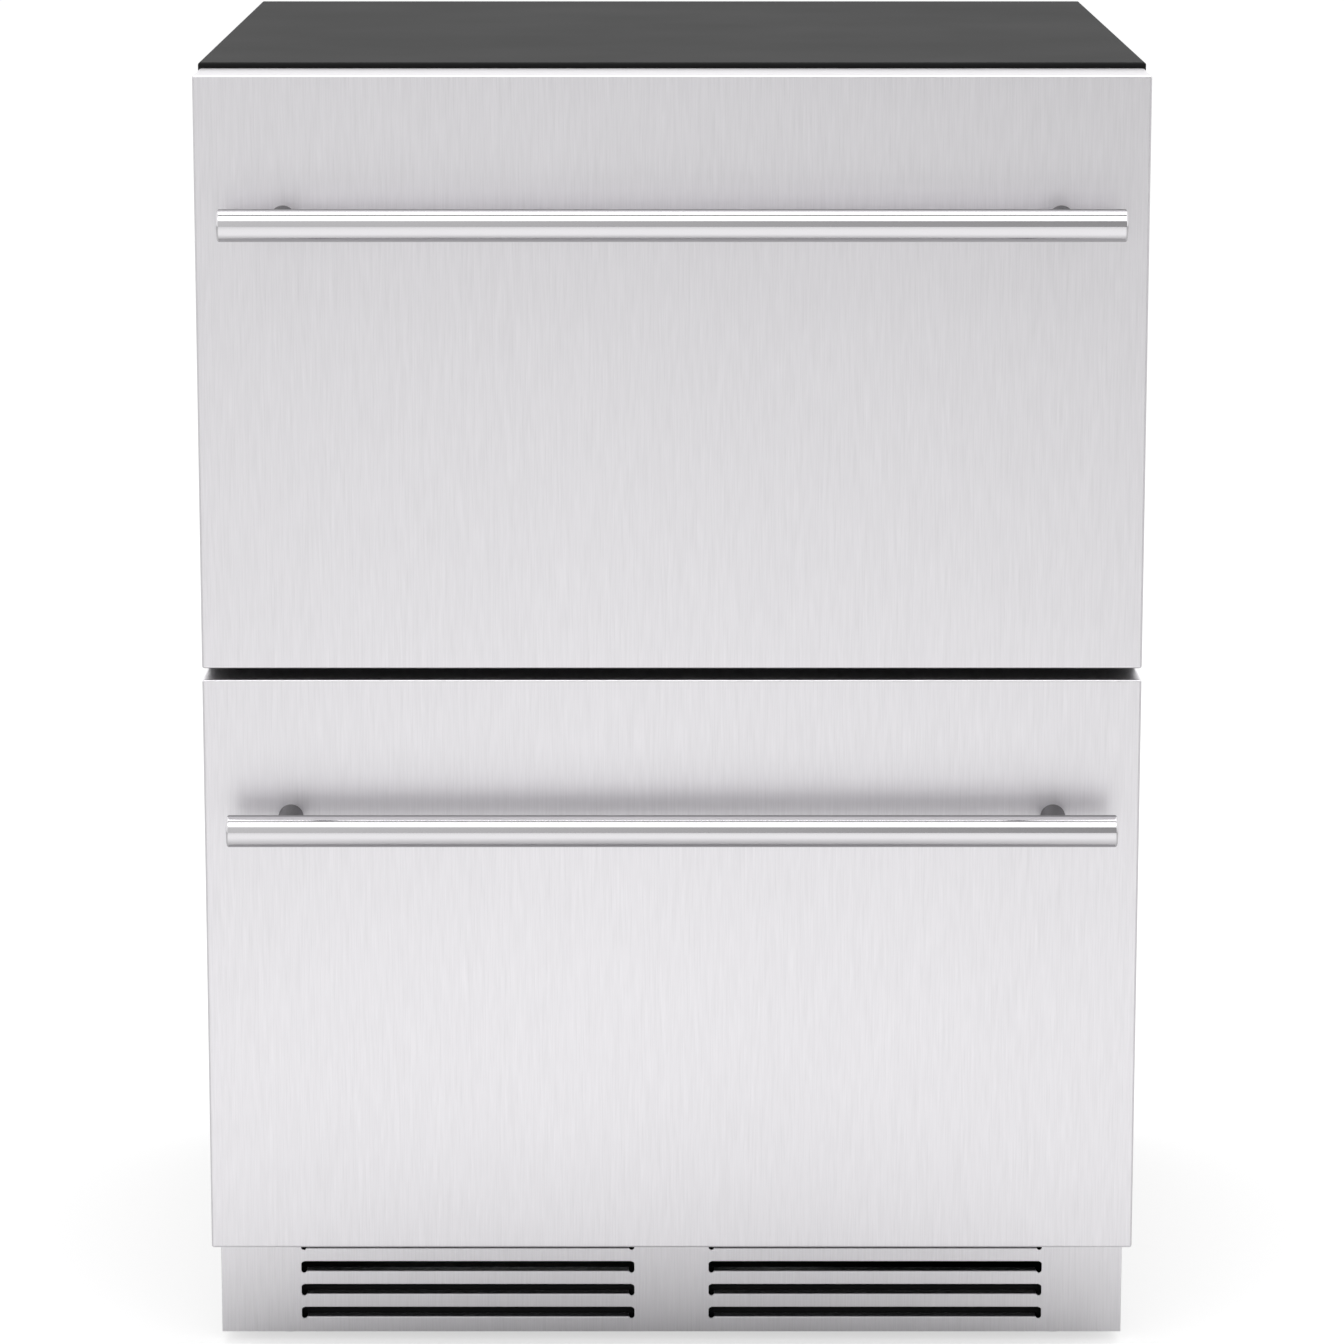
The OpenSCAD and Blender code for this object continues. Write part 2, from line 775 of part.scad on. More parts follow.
// Keeps the cold intake air on the left apart from the warm exhaust air on the right
module air_baffle() {
    top_z = foam_z - sheet_t;
    foot_w = 14;
    y0 = pan_y + sheet_t;
    color([0.16, 0.16, 0.165]) translate([cond_x, 0, 0]) {
        block([-sheet_t / 2, y0, pan_z], [sheet_t / 2, cond_y, top_z]);
        block([-sheet_t / 2, machine_y + sheet_t, top_z - cut], [sheet_t / 2, cond_y, cond_z + cond_h]);
        block([0, y0, pan_z], [foot_w, cond_y, pan_z + sheet_t]);
        block([0, y0, top_z - sheet_t], [foot_w, machine_y, top_z]);
    }
}

// ---------------------------------------------------------------- controls and lights

// Housing under the ceiling, with a shallow recess for its face
module control_panel() {
    x = panel_w / 2;
    y0 = cab_y + 9;
    z0 = ceiling_z - panel_h;
    edge = 7;
    color([0.06, 0.06, 0.065]) difference() {
        translate([0, 0, z0]) linear_extrude(panel_h) round_rect([-x, y0], [x, y0 + panel_d], 8);
        translate([0, 0, z0 - cut]) linear_extrude(cut + 0.6)
            round_rect([-x + edge, y0 + edge], [x - edge, y0 + panel_d - edge], 5);
    }
}

// Light strip under a ceiling, given its front edge
module light(y, top_z) {
    color([0.95, 0.96, 0.94]) along_x(-light_l / 2, light_l / 2)
        round_low([y, top_z - light_h], [y + light_w, top_z], light_h * 0.4);
}

module upper_light() {
    light(cab_y + 9 + panel_d + 9, ceiling_z);
}

module lower_light() {
    light(cab_y + 4, mid_z - mullion_h / 2);
}

// ---------------------------------------------------------------- slides

// Cross-sections of the slide members: first axis from the liner inwards, second axis up
module channel(u0, u1, h, t) {
    translate([u0, -h]) square([t, 2 * h]);
    for (v = [h - t, -h])
        translate([min(u0, u1), v]) square([abs(u1 - u0), t]);
}

module outer_section() {
    u1 = rail_w - rail_t - 1;
    channel(0, u1, outer_h, rail_t);
    for (v = [outer_h - rail_t - lip_h, -outer_h + rail_t])
        translate([u1 - rail_t, v]) square([rail_t, lip_h]);
}

module mid_section() {
    u1 = rail_w - rail_t - 2;
    channel(mid_u, u1, mid_h, rail_t);
}

module inner_section() {
    translate([rail_w - rail_t, -inner_h]) square([rail_t, 2 * inner_h]);
    for (v = [inner_h - rail_t, -inner_h])
        translate([mid_u + rail_t + 1, v]) square([rail_w - mid_u - rail_t - 1, rail_t]);
}

// A pair of slide members at a height, from a cross-section
module rail_pair(z) {
    both_sides() along_y(rail_y, rail_end_y) translate([in_x, z]) mirror([1, 0]) children();
}

function rail_z(bin_z) = bin_z + bin_h - rail_drop;

module outer_rails(bin_z) {
    color([0.7, 0.71, 0.72]) rail_pair(rail_z(bin_z)) outer_section();
}

module mid_rails(bin_z) {
    color([0.66, 0.67, 0.68]) rail_pair(rail_z(bin_z)) mid_section();
}

module inner_rails(bin_z) {
    color([0.72, 0.73, 0.74]) rail_pair(rail_z(bin_z)) inner_section();
}

module upper_outer_rails() {
    outer_rails(upper_bin_z);
}

module lower_outer_rails() {
    outer_rails(lower_bin_z);
}

module upper_mid_rails() {
    mid_rails(upper_bin_z);
}

module lower_mid_rails() {
    mid_rails(lower_bin_z);
}

module upper_inner_rails() {
    inner_rails(upper_bin_z);
}

module lower_inner_rails() {
    inner_rails(lower_bin_z);
}

// ---------------------------------------------------------------- cooling system

module compressor() {
    dome_r = 26;
    lower_h = comp_seam_z - comp_z;
    upper_r = comp_r - 3;
    plate_x = comp_foot_x + comp_corner;
    plate_y = comp_foot_y + comp_corner;
    terminal = [48, 30, 54];
    translate([comp_x, comp_y, 0]) color([0.05, 0.05, 0.055]) {
        // Shell with its welded seam
        rotate_extrude() {
            translate([0, comp_z]) intersection() {
                round_low([-comp_r, 0], [comp_r, lower_h], dome_r);
                square([comp_flange_r, comp_h]);
            }
            translate([0, comp_seam_z]) intersection() {
                mirror([0, 1]) round_low([-upper_r, lower_h - comp_h], [upper_r, 0], dome_r);
                square([comp_flange_r, comp_h]);
            }
            translate([0, comp_seam_z - 2]) square([comp_flange_r, 5]);
        }
        // Foot plate
        translate([0, 0, comp_plate_z]) difference() {
            linear_extrude(comp_plate_t) round_rect([-plate_x, -plate_y], [plate_x, plate_y], 10);
            for (x = [-comp_foot_x, comp_foot_x], y = [-comp_foot_y, comp_foot_y])
                translate([x, y, -cut]) cylinder(h = comp_plate_t + 2 * cut, r = grommet_r - 4);
        }
        // Terminal cover and tube stubs
        translate([-terminal.x / 2, -comp_r - 16, comp_z + 30]) cube(terminal);
        for (x = [-stub_x, stub_x])
            rod_y([x, comp_r - 16, stub_z], 30, tube_r + 1);
    }
}

module compressor_grommets() {
    for (x = [-comp_foot_x, comp_foot_x], y = [-comp_foot_y, comp_foot_y])
        translate([comp_x + x, comp_y + y, pan_z]) color([0.08, 0.08, 0.08]) {
            cylinder(h = grommet_h, r = grommet_r);
            translate([0, 0, grommet_h]) cylinder(h = comp_plate_t, r = grommet_r - 4 - run_fit);
            translate([0, 0, grommet_h + comp_plate_t]) cylinder(h = 3, r = grommet_r - 1);
            translate([0, 0, grommet_h + comp_plate_t + 3]) cylinder(h = 5, r = 3);
        }
}

module condenser_coil() {
    fin_t = 0.6;
    foot_w = 20;
    foot_t = 2;
    tube_end = 2;
    color([0.6, 0.61, 0.62]) translate([cond_x, 0, 0]) {
        for (i = [0:cond_fins - 1])
            translate([-cond_t / 2, cond_y + i * (cond_w - fin_t) / (cond_fins - 1), cond_z])
                cube([cond_t, fin_t, cond_h]);
        for (x = [-cond_t / 4, cond_t / 4], i = [0:cond_rows - 1]) {
            z = cond_z + (i + 0.5) * cond_pitch;
            near = i % 2 == 0;
            bend_y = near ? cond_y - tube_end : cond_y + cond_w + tube_end;
            rod_y([x, cond_y - tube_end, z], cond_w + 2 * tube_end, cond_tube_r);
            if (i < cond_rows - 1)
                translate([x, bend_y, z + cond_pitch / 2]) rotate([0, 90, 0]) rotate([0, 0, near ? 180 : 0])
                    rotate_extrude(angle = 180) translate([cond_pitch / 2, 0]) circle(cond_tube_r);
        }
        // Bend that joins the two rows of tubes
        translate([0, cond_y + cond_w + tube_end, cond_z + 0.5 * cond_pitch])
            rotate_extrude(angle = 180) translate([cond_t / 4, 0]) circle(cond_tube_r);
        // Feet on the base pan
        for (y = [cond_y + 12, cond_y + cond_w - 12 - foot_w]) {
            block([-cond_t / 2, y, pan_z], [cond_t / 2, y + foot_w, pan_z + foot_t]);
            for (x = [-cond_t / 2, cond_t / 2 - foot_t])
                block([x, y, pan_z], [x + foot_t, y + foot_w, cond_z]);
        }
    }
}

module fan_shroud() {
    arm_x = motor_x - shroud_arm_t;
    color([0.09, 0.09, 0.095]) {
        difference() {
            union() {
                block([shroud_x, cond_y, pan_z], [shroud_x + shroud_t, cond_y + cond_w, cond_z + cond_h]);
                rod_x([shroud_x, fan_y, fan_z], shroud_ring_d, shroud_ring_r + 2);
            }
            rod_x([shroud_x - cut, fan_y, fan_z], shroud_ring_d + 2 * cut, shroud_ring_r);
        }
        // Arms that carry the motor
        difference() {
            union() {
                for (a = [30, 150, 270])
                    translate([arm_x, fan_y, fan_z]) rotate([a, 0, 0])
                        translate([0, motor_r - 4, -shroud_arm_w / 2])
                            cube([shroud_arm_t, shroud_ring_r - motor_r + 5, shroud_arm_w]);
                rod_x([arm_x, fan_y, fan_z], shroud_arm_t, motor_r);
            }
            rod_x([arm_x - cut, fan_y, fan_z], shroud_arm_t + 2 * cut, shaft_r + 4);
        }
    }
}

module condenser_fan_motor() {
    translate([motor_x, fan_y, fan_z]) rotate([0, 90, 0]) color([0.42, 0.43, 0.44]) difference() {
        union() {
            cylinder(h = motor_l * 0.4, r = motor_r);
            translate([0, 0, motor_l * 0.4]) cylinder(h = motor_l * 0.3, r = motor_r - 3);
            translate([0, 0, motor_l * 0.7]) cylinder(h = motor_l * 0.3, r = motor_r - 9);
        }
        translate([0, 0, -cut]) cylinder(h = motor_l * 0.7 + cut, r = shaft_r + run_fit);
    }
}

// Axial fan about the Z axis, with its shaft
module fan(r, hub_r, t, blades, pitch, shaft_l) {
    intersection() {
        translate([0, 0, -t]) cylinder(h = 3 * t, r = r);
        union() for (i = [0:blades - 1])
            rotate(i * 360 / blades) translate([hub_r - 3, 0, t / 2]) rotate([pitch, 0, 0])
                linear_extrude(1.6, center = true) polygon([
                    [0, -hub_r * 0.42],
                    [r * 0.5, -r * 0.26],
                    [r + 4, -r * 0.2],
                    [r + 4, r * 0.3],
                    [r * 0.45, r * 0.2],
                    [0, hub_r * 0.42]
                ]);
    }
    difference() {
        cylinder(h = t, r = hub_r);
        translate([0, 0, -cut]) difference() {
            cylinder(h = t - 3 + cut, r = hub_r - 2);
            cylinder(h = t, r = shaft_r + 3);
        }
    }
    cylinder(h = t + shaft_l, r = shaft_r);
}

module condenser_fan() {
    color([0.12, 0.12, 0.125]) translate([fan_x, fan_y, fan_z]) rotate([0, 90, 0])
        fan(fan_r, fan_hub_r, fan_t, 5, 28, motor_x - fan_x - fan_t + motor_l * 0.6);
}

module drip_tray() {
    y0 = comp_y - tray_y;
    y1 = comp_y + tray_y;
    r = 10;
    floor_r = 5;
    color([0.13, 0.13, 0.135]) translate([comp_x, 0, 0]) difference() {
        tub(tray_x, y0, y1, tray_z, tray_z + tray_h, r, floor_r);
        tub(tray_x - tray_t, y0 + tray_t, y1 - tray_t, tray_z + tray_t, tray_z + tray_h + cut,
            r - tray_t, floor_r - tray_t);
    }
}

module drain_tube() {
    low_z = tray_z + tray_h + 4;
    color([0.78, 0.79, 0.8]) translate([drain_x, drain_y, 0]) difference() {
        union() {
            translate([0, 0, low_z]) cylinder(h = shelf_z - low_z, r = drain_r);
            translate([0, 0, shelf_z]) cylinder(h = 2, r = drain_r + 5);
        }
        translate([0, 0, low_z - cut]) cylinder(h = shelf_z + 2 - low_z + 2 * cut, r = drain_r - drain_t);
    }
}

module refrigerant_lines() {
    cond_end_y = cond_y + cond_w + 2;
    cond_top_z = cond_z + cond_h - 0.5 * cond_pitch;
    gas_x = cond_x + cond_t / 4;
    liquid_x = cond_x - cond_t / 4;
    suction_z = machine_z - pipe_gap;
    capillary_z = drier_z - pipe_gap - 2 * tube_r;
    color([0.72, 0.45, 0.28]) {
        // Hot gas from the compressor to the condenser
        tube_run([
            [comp_x - stub_x, stub_y, stub_z],
            [comp_x - stub_x, pipe_y, stub_z],
            [comp_x - stub_x, pipe_y, cond_top_z],
            [gas_x, pipe_y, cond_top_z],
            [gas_x, cond_end_y, cond_top_z]
        ], tube_r, pipe_bend);
        // From the condenser to the drier
        tube_run([
            [liquid_x, cond_end_y, cond_top_z],
            [liquid_x, pipe_y, cond_top_z],
            [drier_x, pipe_y, cond_top_z],
            [drier_x, pipe_y, drier_z + drier_l]
        ], tube_r, pipe_bend);
        // Capillary from the drier into the insulation
        tube_run([
            [drier_x, pipe_y, drier_z],
            [drier_x, pipe_y, capillary_z],
            [riser_x[0], pipe_y, capillary_z],
            [riser_x[0], pipe_y, suction_z - pipe_gap],
            [riser_x[0], riser_y, suction_z - pipe_gap],
            [riser_x[0], riser_y, machine_z + riser_l]
        ], tube_r, pipe_bend);
        // Suction line from the insulation to the compressor
        tube_run([
            [riser_x[1], riser_y, machine_z + riser_l],
            [riser_x[1], riser_y, suction_z],
            [riser_x[1], pipe_y, suction_z],
            [comp_x + stub_x, pipe_y, suction_z],
            [comp_x + stub_x, pipe_y, stub_z],
            [comp_x + stub_x, stub_y, stub_z]
        ], tube_r, pipe_bend);
    }
}

module filter_drier() {
    color([0.75, 0.47, 0.3]) translate([drier_x, pipe_y, drier_z]) rotate_extrude() polygon([
        [0, 0],
        [tube_r + 1, 0],
        [tube_r + 1, drier_neck],
        [drier_r, 2 * drier_neck],
        [drier_r, drier_l - 2 * drier_neck],
        [tube_r + 1, drier_l - drier_neck],
        [tube_r + 1, drier_l],
        [0, drier_l]
    ]);
}

module control_box() {
    x0 = -half_w + ctrl_side;
    x1 = x0 + ctrl_w;
    y0 = machine_y + sheet_t;
    z1 = machine_z - ctrl_drop;
    z0 = z1 - ctrl_h;
    ear_t = 3;
    color([0.86, 0.86, 0.84]) {
        translate([(x0 + x1) / 2, 0, 0]) mirror([0, 1, 0]) folded_box(ctrl_w, -y0 - ctrl_d, -y0, z0, z1, 4);
        difference() {
            block([x0 - ctrl_ear, y0, z0 + 20], [x1 + ctrl_ear, y0 + ear_t, z1 - 20]);
            for (x = [x0 - ctrl_ear / 2, x1 + ctrl_ear / 2])
                rod_y([x, y0 - cut, (z0 + z1) / 2], ear_t + 2 * cut, screw_r);
        }
    }
}

module cord_gland() {
    nut_t = 3;
    inner_l = 14;
    all_l = screw_head_h + sheet_t + nut_t + inner_l;
    color([0.04, 0.04, 0.04]) translate([gland_x, back_y, gland_z]) rotate([90, 0, 0]) difference() {
        union() {
            translate([0, 0, -screw_head_h]) cylinder(h = screw_head_h, r = gland_r + 5);
            cylinder(h = sheet_t, r = gland_r);
            translate([0, 0, sheet_t]) cylinder(h = nut_t, r = gland_r + 3);
            translate([0, 0, sheet_t + nut_t]) cylinder(h = inner_l, r = gland_r - 1);
        }
        translate([0, 0, -screw_head_h - cut]) cylinder(h = all_l + 2 * cut, r = gland_bore_r);
    }
}

module evaporator() {
    fins = 26;
    fin_t = 0.6;
    fin_d = cover_d - cover_t - 8;
    fin_pitch = (evap_x1 - evap_x0 - fin_t) / (fins - 1);
    y0 = rear_y - fin_d - 3;
    color([0.78, 0.79, 0.8]) {
        for (i = [0:fins - 1])
            translate([evap_x0 + i * fin_pitch, y0, evap_z]) cube([fin_t, fin_d, evap_h]);
        for (i = [0:evap_rows - 1]) {
            z = evap_z + (i + 0.5) * evap_pitch;
            rod_x([evap_x0 - 2, y0 + fin_d / 2, z], evap_x1 - evap_x0 + 4, evap_tube_r);
            if (i < evap_rows - 1)
                translate([i % 2 == 0 ? evap_x1 + 2 : evap_x0 - 2, y0 + fin_d / 2, z + evap_pitch / 2])
                    rotate([-90, 0, 0]) rotate([0, 0, i % 2 == 0 ? -90 : 90])
                        rotate_extrude(angle = 180) translate([evap_pitch / 2, 0]) circle(evap_tube_r);
        }
        // End plates that fasten to the liner
        for (x = [evap_x0 - 1, evap_x1])
            block([x, y0, evap_z - 4], [x + 1, rear_y, evap_z + evap_h + 4]);
    }
}

module evaporator_cover() {
    ring_w = 4;
    rings = 6;
    slots = 15;
    slot_pitch = (evap_x1 - evap_x0) / (slots - 1);
    slot_l = 36;
    slot_w = 6;
    y0 = cover_y - cut;
    y1 = cover_y + cover_t + cut;
    color([0.8, 0.81, 0.82]) difference() {
        translate([0, 0, cover_z]) linear_extrude(cover_top_z - cover_z)
            round_low([-cover_x, cover_y], [cover_x, rear_y], 6);
        block([-cover_x + cover_t, cover_y + cover_t, cover_z - cut],
              [cover_x - cover_t, rear_y + cut, cover_top_z - cover_t]);
        // Round fan grille
        difference() {
            for (i = [0:rings - 1]) {
                r = evap_fan_r + 2 - i * 2 * ring_w;
                along_y(y0, y1) translate([evap_fan_x, evap_fan_z]) difference() {
                    circle(r);
                    circle(r - ring_w);
                }
            }
            for (a = [0:60:179])
                translate([evap_fan_x, cover_y + cover_t / 2, evap_fan_z]) rotate([0, a, 0])
                    cube([2 * evap_fan_r + 10, cover_t + 4, 3], center = true);
        }
        // Return air slots near the bottom
        for (i = [0:slots - 1])
            along_y(y0, y1) translate([evap_x0 + i * slot_pitch, evap_z + 8]) rotate(90) slot(slot_l, slot_w);
    }
}

module evaporator_fan_motor() {
    color([0.2, 0.2, 0.21]) difference() {
        union() {
            rod_y([evap_fan_x, evap_motor_y, evap_fan_z], rear_y - evap_motor_y, evap_motor_r);
            along_y(rear_y - 2, rear_y) translate([evap_fan_x, evap_fan_z]) slot(4 * evap_motor_r, 20);
        }
        rod_y([evap_fan_x, evap_motor_y - cut, evap_fan_z], evap_shaft_l + 2 + cut, shaft_r + run_fit);
    }
}

module evaporator_fan() {
    color([0.85, 0.85, 0.84]) translate([evap_fan_x, evap_fan_y, evap_fan_z]) rotate([-90, 0, 0])
        fan(evap_fan_r - evap_fan_gap, evap_hub_r, evap_fan_t, 5, 20, evap_motor_gap + evap_shaft_l);
}

// ---------------------------------------------------------------- legs

module leg(x, y) {
    translate([x, y, 0]) {
        color([0.1, 0.1, 0.1]) rotate_extrude() polygon([
            [0, 0],
            [foot_d / 2 - 1.5, 0],
            [foot_d / 2, 1.5],
            [foot_d / 2, foot_h - 2],
            [foot_d / 2 - 4, foot_h],
            [0, foot_h]
        ]);
        color([0.62, 0.62, 0.63]) {
            translate([0, 0, foot_h]) cylinder(h = 5, r = stem_d * 0.85, $fn = 6);
            translate([0, 0, foot_h]) cylinder(h = leg_h - foot_h, r = stem_d / 2);
        }
    }
}

module front_left_leg() {
    leg(-leg_x, front_leg_y);
}

module front_right_leg() {
    leg(leg_x, front_leg_y);
}

module rear_left_leg() {
    leg(-leg_x, rear_leg_y);
}

module rear_right_leg() {
    leg(leg_x, rear_leg_y);
}

// ---------------------------------------------------------------- drawers

function bar_z(z) = z + front_h - bar_drop;

// Places of the frame's screws on the front, given the height of the bin
function tab_screws(bin_z) = [
    for (s = [-1, 1]) [frame_x - frame_t - tab_w / 2, rail_z(bin_z) + s * tab_screw_rise]
];

module front_skin(z) {
    color([0.8, 0.8, 0.81]) difference() {
        folded_box(front_w, face_y, front_back_y, z, z + front_h, fold_r);
        block([-front_w / 2 + skin_t, face_y + skin_t, z + skin_t],
              [front_w / 2 - skin_t, front_back_y + cut, z + front_h - skin_t]);
        both_sides() rod_y([post_x, face_y - cut, bar_z(z)], skin_t + 2 * cut, bolt_r + run_fit);
    }
}

// Outline of the gasket's centre line band: its outer edge moved in by a distance
module gasket_band(z, low, high, width) {
    grow = (gasket_w - width) / 2;
    x = front_w / 2 - gasket_side - grow;
    z0 = z + low + grow;
    z1 = z + front_h - high - grow;
    difference() {
        round_rect([-x, z0], [x, z1], 12 - grow);
        round_rect([-x + width, z0 + width], [x - width, z1 - width], 3);
    }
}

module front_core(z, low, high, bin_z) {
    y1 = front_back_y;
    head_l = bolt_head_h + 0.5;
    color([0.88, 0.88, 0.87]) difference() {
        block([-front_w / 2 + skin_t, face_y + skin_t, z + skin_t],
              [front_w / 2 - skin_t, y1, z + front_h - skin_t]);
        along_y(y1 - groove_d, y1 + cut) gasket_band(z, low, high, groove_w + 2 * run_fit);
        both_sides() {
            rod_y([post_x, face_y, bar_z(z)], front_t + cut, bolt_r + run_fit);
            rod_y([post_x, y1 - head_l, bar_z(z)], head_l + cut, bolt_head_r + 0.3);
            for (p = tab_screws(bin_z))
                rod_y([p.x, y1 - tab_screw_l - cut, p.y], tab_screw_l + 2 * cut, bolt_r + run_fit);
        }
    }
}

module gasket(z, low, high) {
    proud = seal_gap - slide_fit;
    layer = proud / 3;
    color([0.13, 0.13, 0.135]) {
        along_y(front_back_y - groove_d + 0.5, front_back_y + proud) gasket_band(z, low, high, groove_w);
        for (y = [front_back_y, front_back_y + proud - layer])
            along_y(y, y + layer) gasket_band(z, low, high, gasket_w);
    }
}

module handle_bar(z) {
    r = bar_d / 2;
    color([0.82, 0.82, 0.83]) translate([-bar_l / 2, face_y - bar_reach, bar_z(z)]) rotate([0, 90, 0])
        rotate_extrude() {
            square([r - bar_end_r, bar_l]);
            translate([0, bar_end_r]) square([r, bar_l - 2 * bar_end_r]);
            for (y = [bar_end_r, bar_l - bar_end_r])
                translate([r - bar_end_r, y]) circle(bar_end_r);
        }
}

module handle_posts(z) {
    r = bar_d / 2;
    color([0.6, 0.6, 0.61]) both_sides() difference() {
        rod_y([post_x, face_y - bar_reach, bar_z(z)], bar_reach, post_d / 2);
        rod_x([post_x - post_d, face_y - bar_reach, bar_z(z)], 2 * post_d, r);
        rod_y([post_x, face_y - post_thread - 2, bar_z(z)], post_thread + 2 + cut, bolt_r + run_fit);
    }
}

// Bolts of the handle posts, and flush screws of the drawer frame
module front_screws(z, bin_z) {
    color([0.5, 0.5, 0.51]) both_sides() {
        rod_y([post_x, face_y - post_thread, bar_z(z)], front_t + post_thread - bolt_head_h, bolt_r);
        rod_y([post_x, front_back_y - bolt_head_h - 0.2, bar_z(z)], bolt_head_h, bolt_head_r);
        for (p = tab_screws(bin_z)) {
            rod_y([p.x, front_back_y - tab_screw_l, p.y], tab_screw_l, bolt_r);
            rod_y([p.x, front_back_y, p.y], frame_t, bolt_head_r);
        }
    }
}

// Steel frame that carries the bin between the slides and is screwed to the front
module drawer_frame(bin_z) {
    z1 = bin_z + bin_h - rim_h;
    z0 = z1 - frame_h;
    y0 = front_back_y;
    y1 = bin_end_y + loose_fit + frame_t;
    x = frame_x - frame_t;
    color([0.68, 0.69, 0.7]) {
        difference() {
            both_sides() {
                block([x, y0, z0], [frame_x, y1, z1]);
                block([x - tab_w, y0, z0], [x, y0 + frame_t, z1]);
            }
            both_sides() for (p = tab_screws(bin_z))
                rod_y([p.x, y0 - cut, p.y], frame_t + 2 * cut, bolt_head_r + run_fit);
        }
        block([-x, y1 - frame_t, z0], [x, y1, z1]);
    }
}

module bin_rim(z1) {
    x = frame_x - slide_fit;
    translate([0, 0, z1 - rim_h]) linear_extrude(rim_h) difference() {
        round_rect([-x, bin_y], [x, bin_end_y + loose_fit + frame_t], bin_r);
        round_rect([-bin_x + bin_t, bin_y + bin_t], [bin_x - bin_t, bin_end_y - bin_t], bin_r - bin_t);
    }
}

// Space inside a bin that ends at a depth and starts at a height
module bin_space(end_y, z0, z1) {
    x = bin_x - bin_t;
    tub(x, bin_y + bin_t, end_y - bin_t, z0 + bin_t, z1 + cut, bin_r - bin_t, bin_floor_r - bin_t);
}

// Low ridges on the floor of a bin
module floor_ridges(y0, y1, z) {
    ridges = 8;
    for (i = [0:ridges - 1])
        translate([(i - (ridges - 1) / 2) * bin_x * 0.22, (y0 + y1) / 2, z])
            linear_extrude(1.5) rotate(90) slot(y1 - y0 - 50, 4);
}

module upper_bin() {
    z1 = upper_bin_z + bin_h;
    color([0.86, 0.87, 0.88]) {
        difference() {
            tub(bin_x, bin_y, bin_end_y, upper_bin_z, z1, bin_r, bin_floor_r);
            bin_space(bin_end_y, upper_bin_z, z1);
        }
        bin_rim(z1);
        floor_ridges(bin_y, bin_end_y, upper_bin_z + bin_t);
    }
}

// The lower bin is deep in front of the machine space and shallow above it
module lower_bin() {
    z1 = lower_bin_z + bin_h;
    deep_end_y = step_y - bin_gap;
    shallow_z = shelf_z + bin_gap;
    color([0.86, 0.87, 0.88]) {
        difference() {
            union() {
                tub(bin_x, bin_y, deep_end_y, lower_bin_z, z1, bin_r, bin_floor_r);
                tub(bin_x, bin_y, bin_end_y, shallow_z, z1, bin_r, bin_floor_r);
            }
            bin_space(deep_end_y, lower_bin_z, z1);
            bin_space(bin_end_y, shallow_z, z1);
        }
        bin_rim(z1);
        floor_ridges(bin_y, deep_end_y, lower_bin_z + bin_t);
    }
}

module upper_front_skin() {
    front_skin(upper_front_z);
}

module lower_front_skin() {
    front_skin(front_z);
}

module upper_front_core() {
    front_core(upper_front_z, gasket_mid, gasket_end, upper_bin_z);
}

module lower_front_core() {
    front_core(front_z, gasket_end, gasket_mid, lower_bin_z);
}

module upper_gasket() {
    gasket(upper_front_z, gasket_mid, gasket_end);
}

module lower_gasket() {
    gasket(front_z, gasket_end, gasket_mid);
}

module upper_handle_bar() {
    handle_bar(upper_front_z);
}

module lower_handle_bar() {
    handle_bar(front_z);
}

module upper_handle_posts() {
    handle_posts(upper_front_z);
}

module lower_handle_posts() {
    handle_posts(front_z);
}

module upper_front_screws() {
    front_screws(upper_front_z, upper_bin_z);
}

module lower_front_screws() {
    front_screws(front_z, lower_bin_z);
}

module upper_drawer_frame() {
    drawer_frame(upper_bin_z);
}

module lower_drawer_frame() {
    drawer_frame(lower_bin_z);
}

// ---------------------------------------------------------------- assembly

top_panel();
left_side_panel();
right_side_panel();
back_panel();
machine_cover();
rear_screws();
base_pan();
step_plate();
foam_insulation();
cabinet_liner();
mullion();
bottom_rail();
toe_kick_grille();
toe_kick_clips();
air_baffle();
control_panel();
upper_light();
lower_light();
upper_outer_rails();
lower_outer_rails();
compressor();
compressor_grommets();
condenser_coil();
fan_shroud();
condenser_fan_motor();
condenser_fan();
drip_tray();
drain_tube();
refrigerant_lines();
filter_drier();
control_box();
cord_gland();
evaporator();
evaporator_cover();
evaporator_fan_motor();
evaporator_fan();
front_left_leg();
front_right_leg();
rear_left_leg();
rear_right_leg();
upper_front_skin();
upper_front_core();
upper_gasket();
upper_handle_bar();
upper_handle_posts();
upper_front_screws();
upper_drawer_frame();
upper_bin();
upper_inner_rails();
upper_mid_rails();
lower_front_skin();
lower_front_core();
lower_gasket();
lower_handle_bar();
lower_handle_posts();
lower_front_screws();
lower_drawer_frame();
lower_bin();
lower_inner_rails();
lower_mid_rails();
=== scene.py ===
# Undercounter refrigerator with two drawers: finishes, fine shapes, studio light and camera.
import json
import math

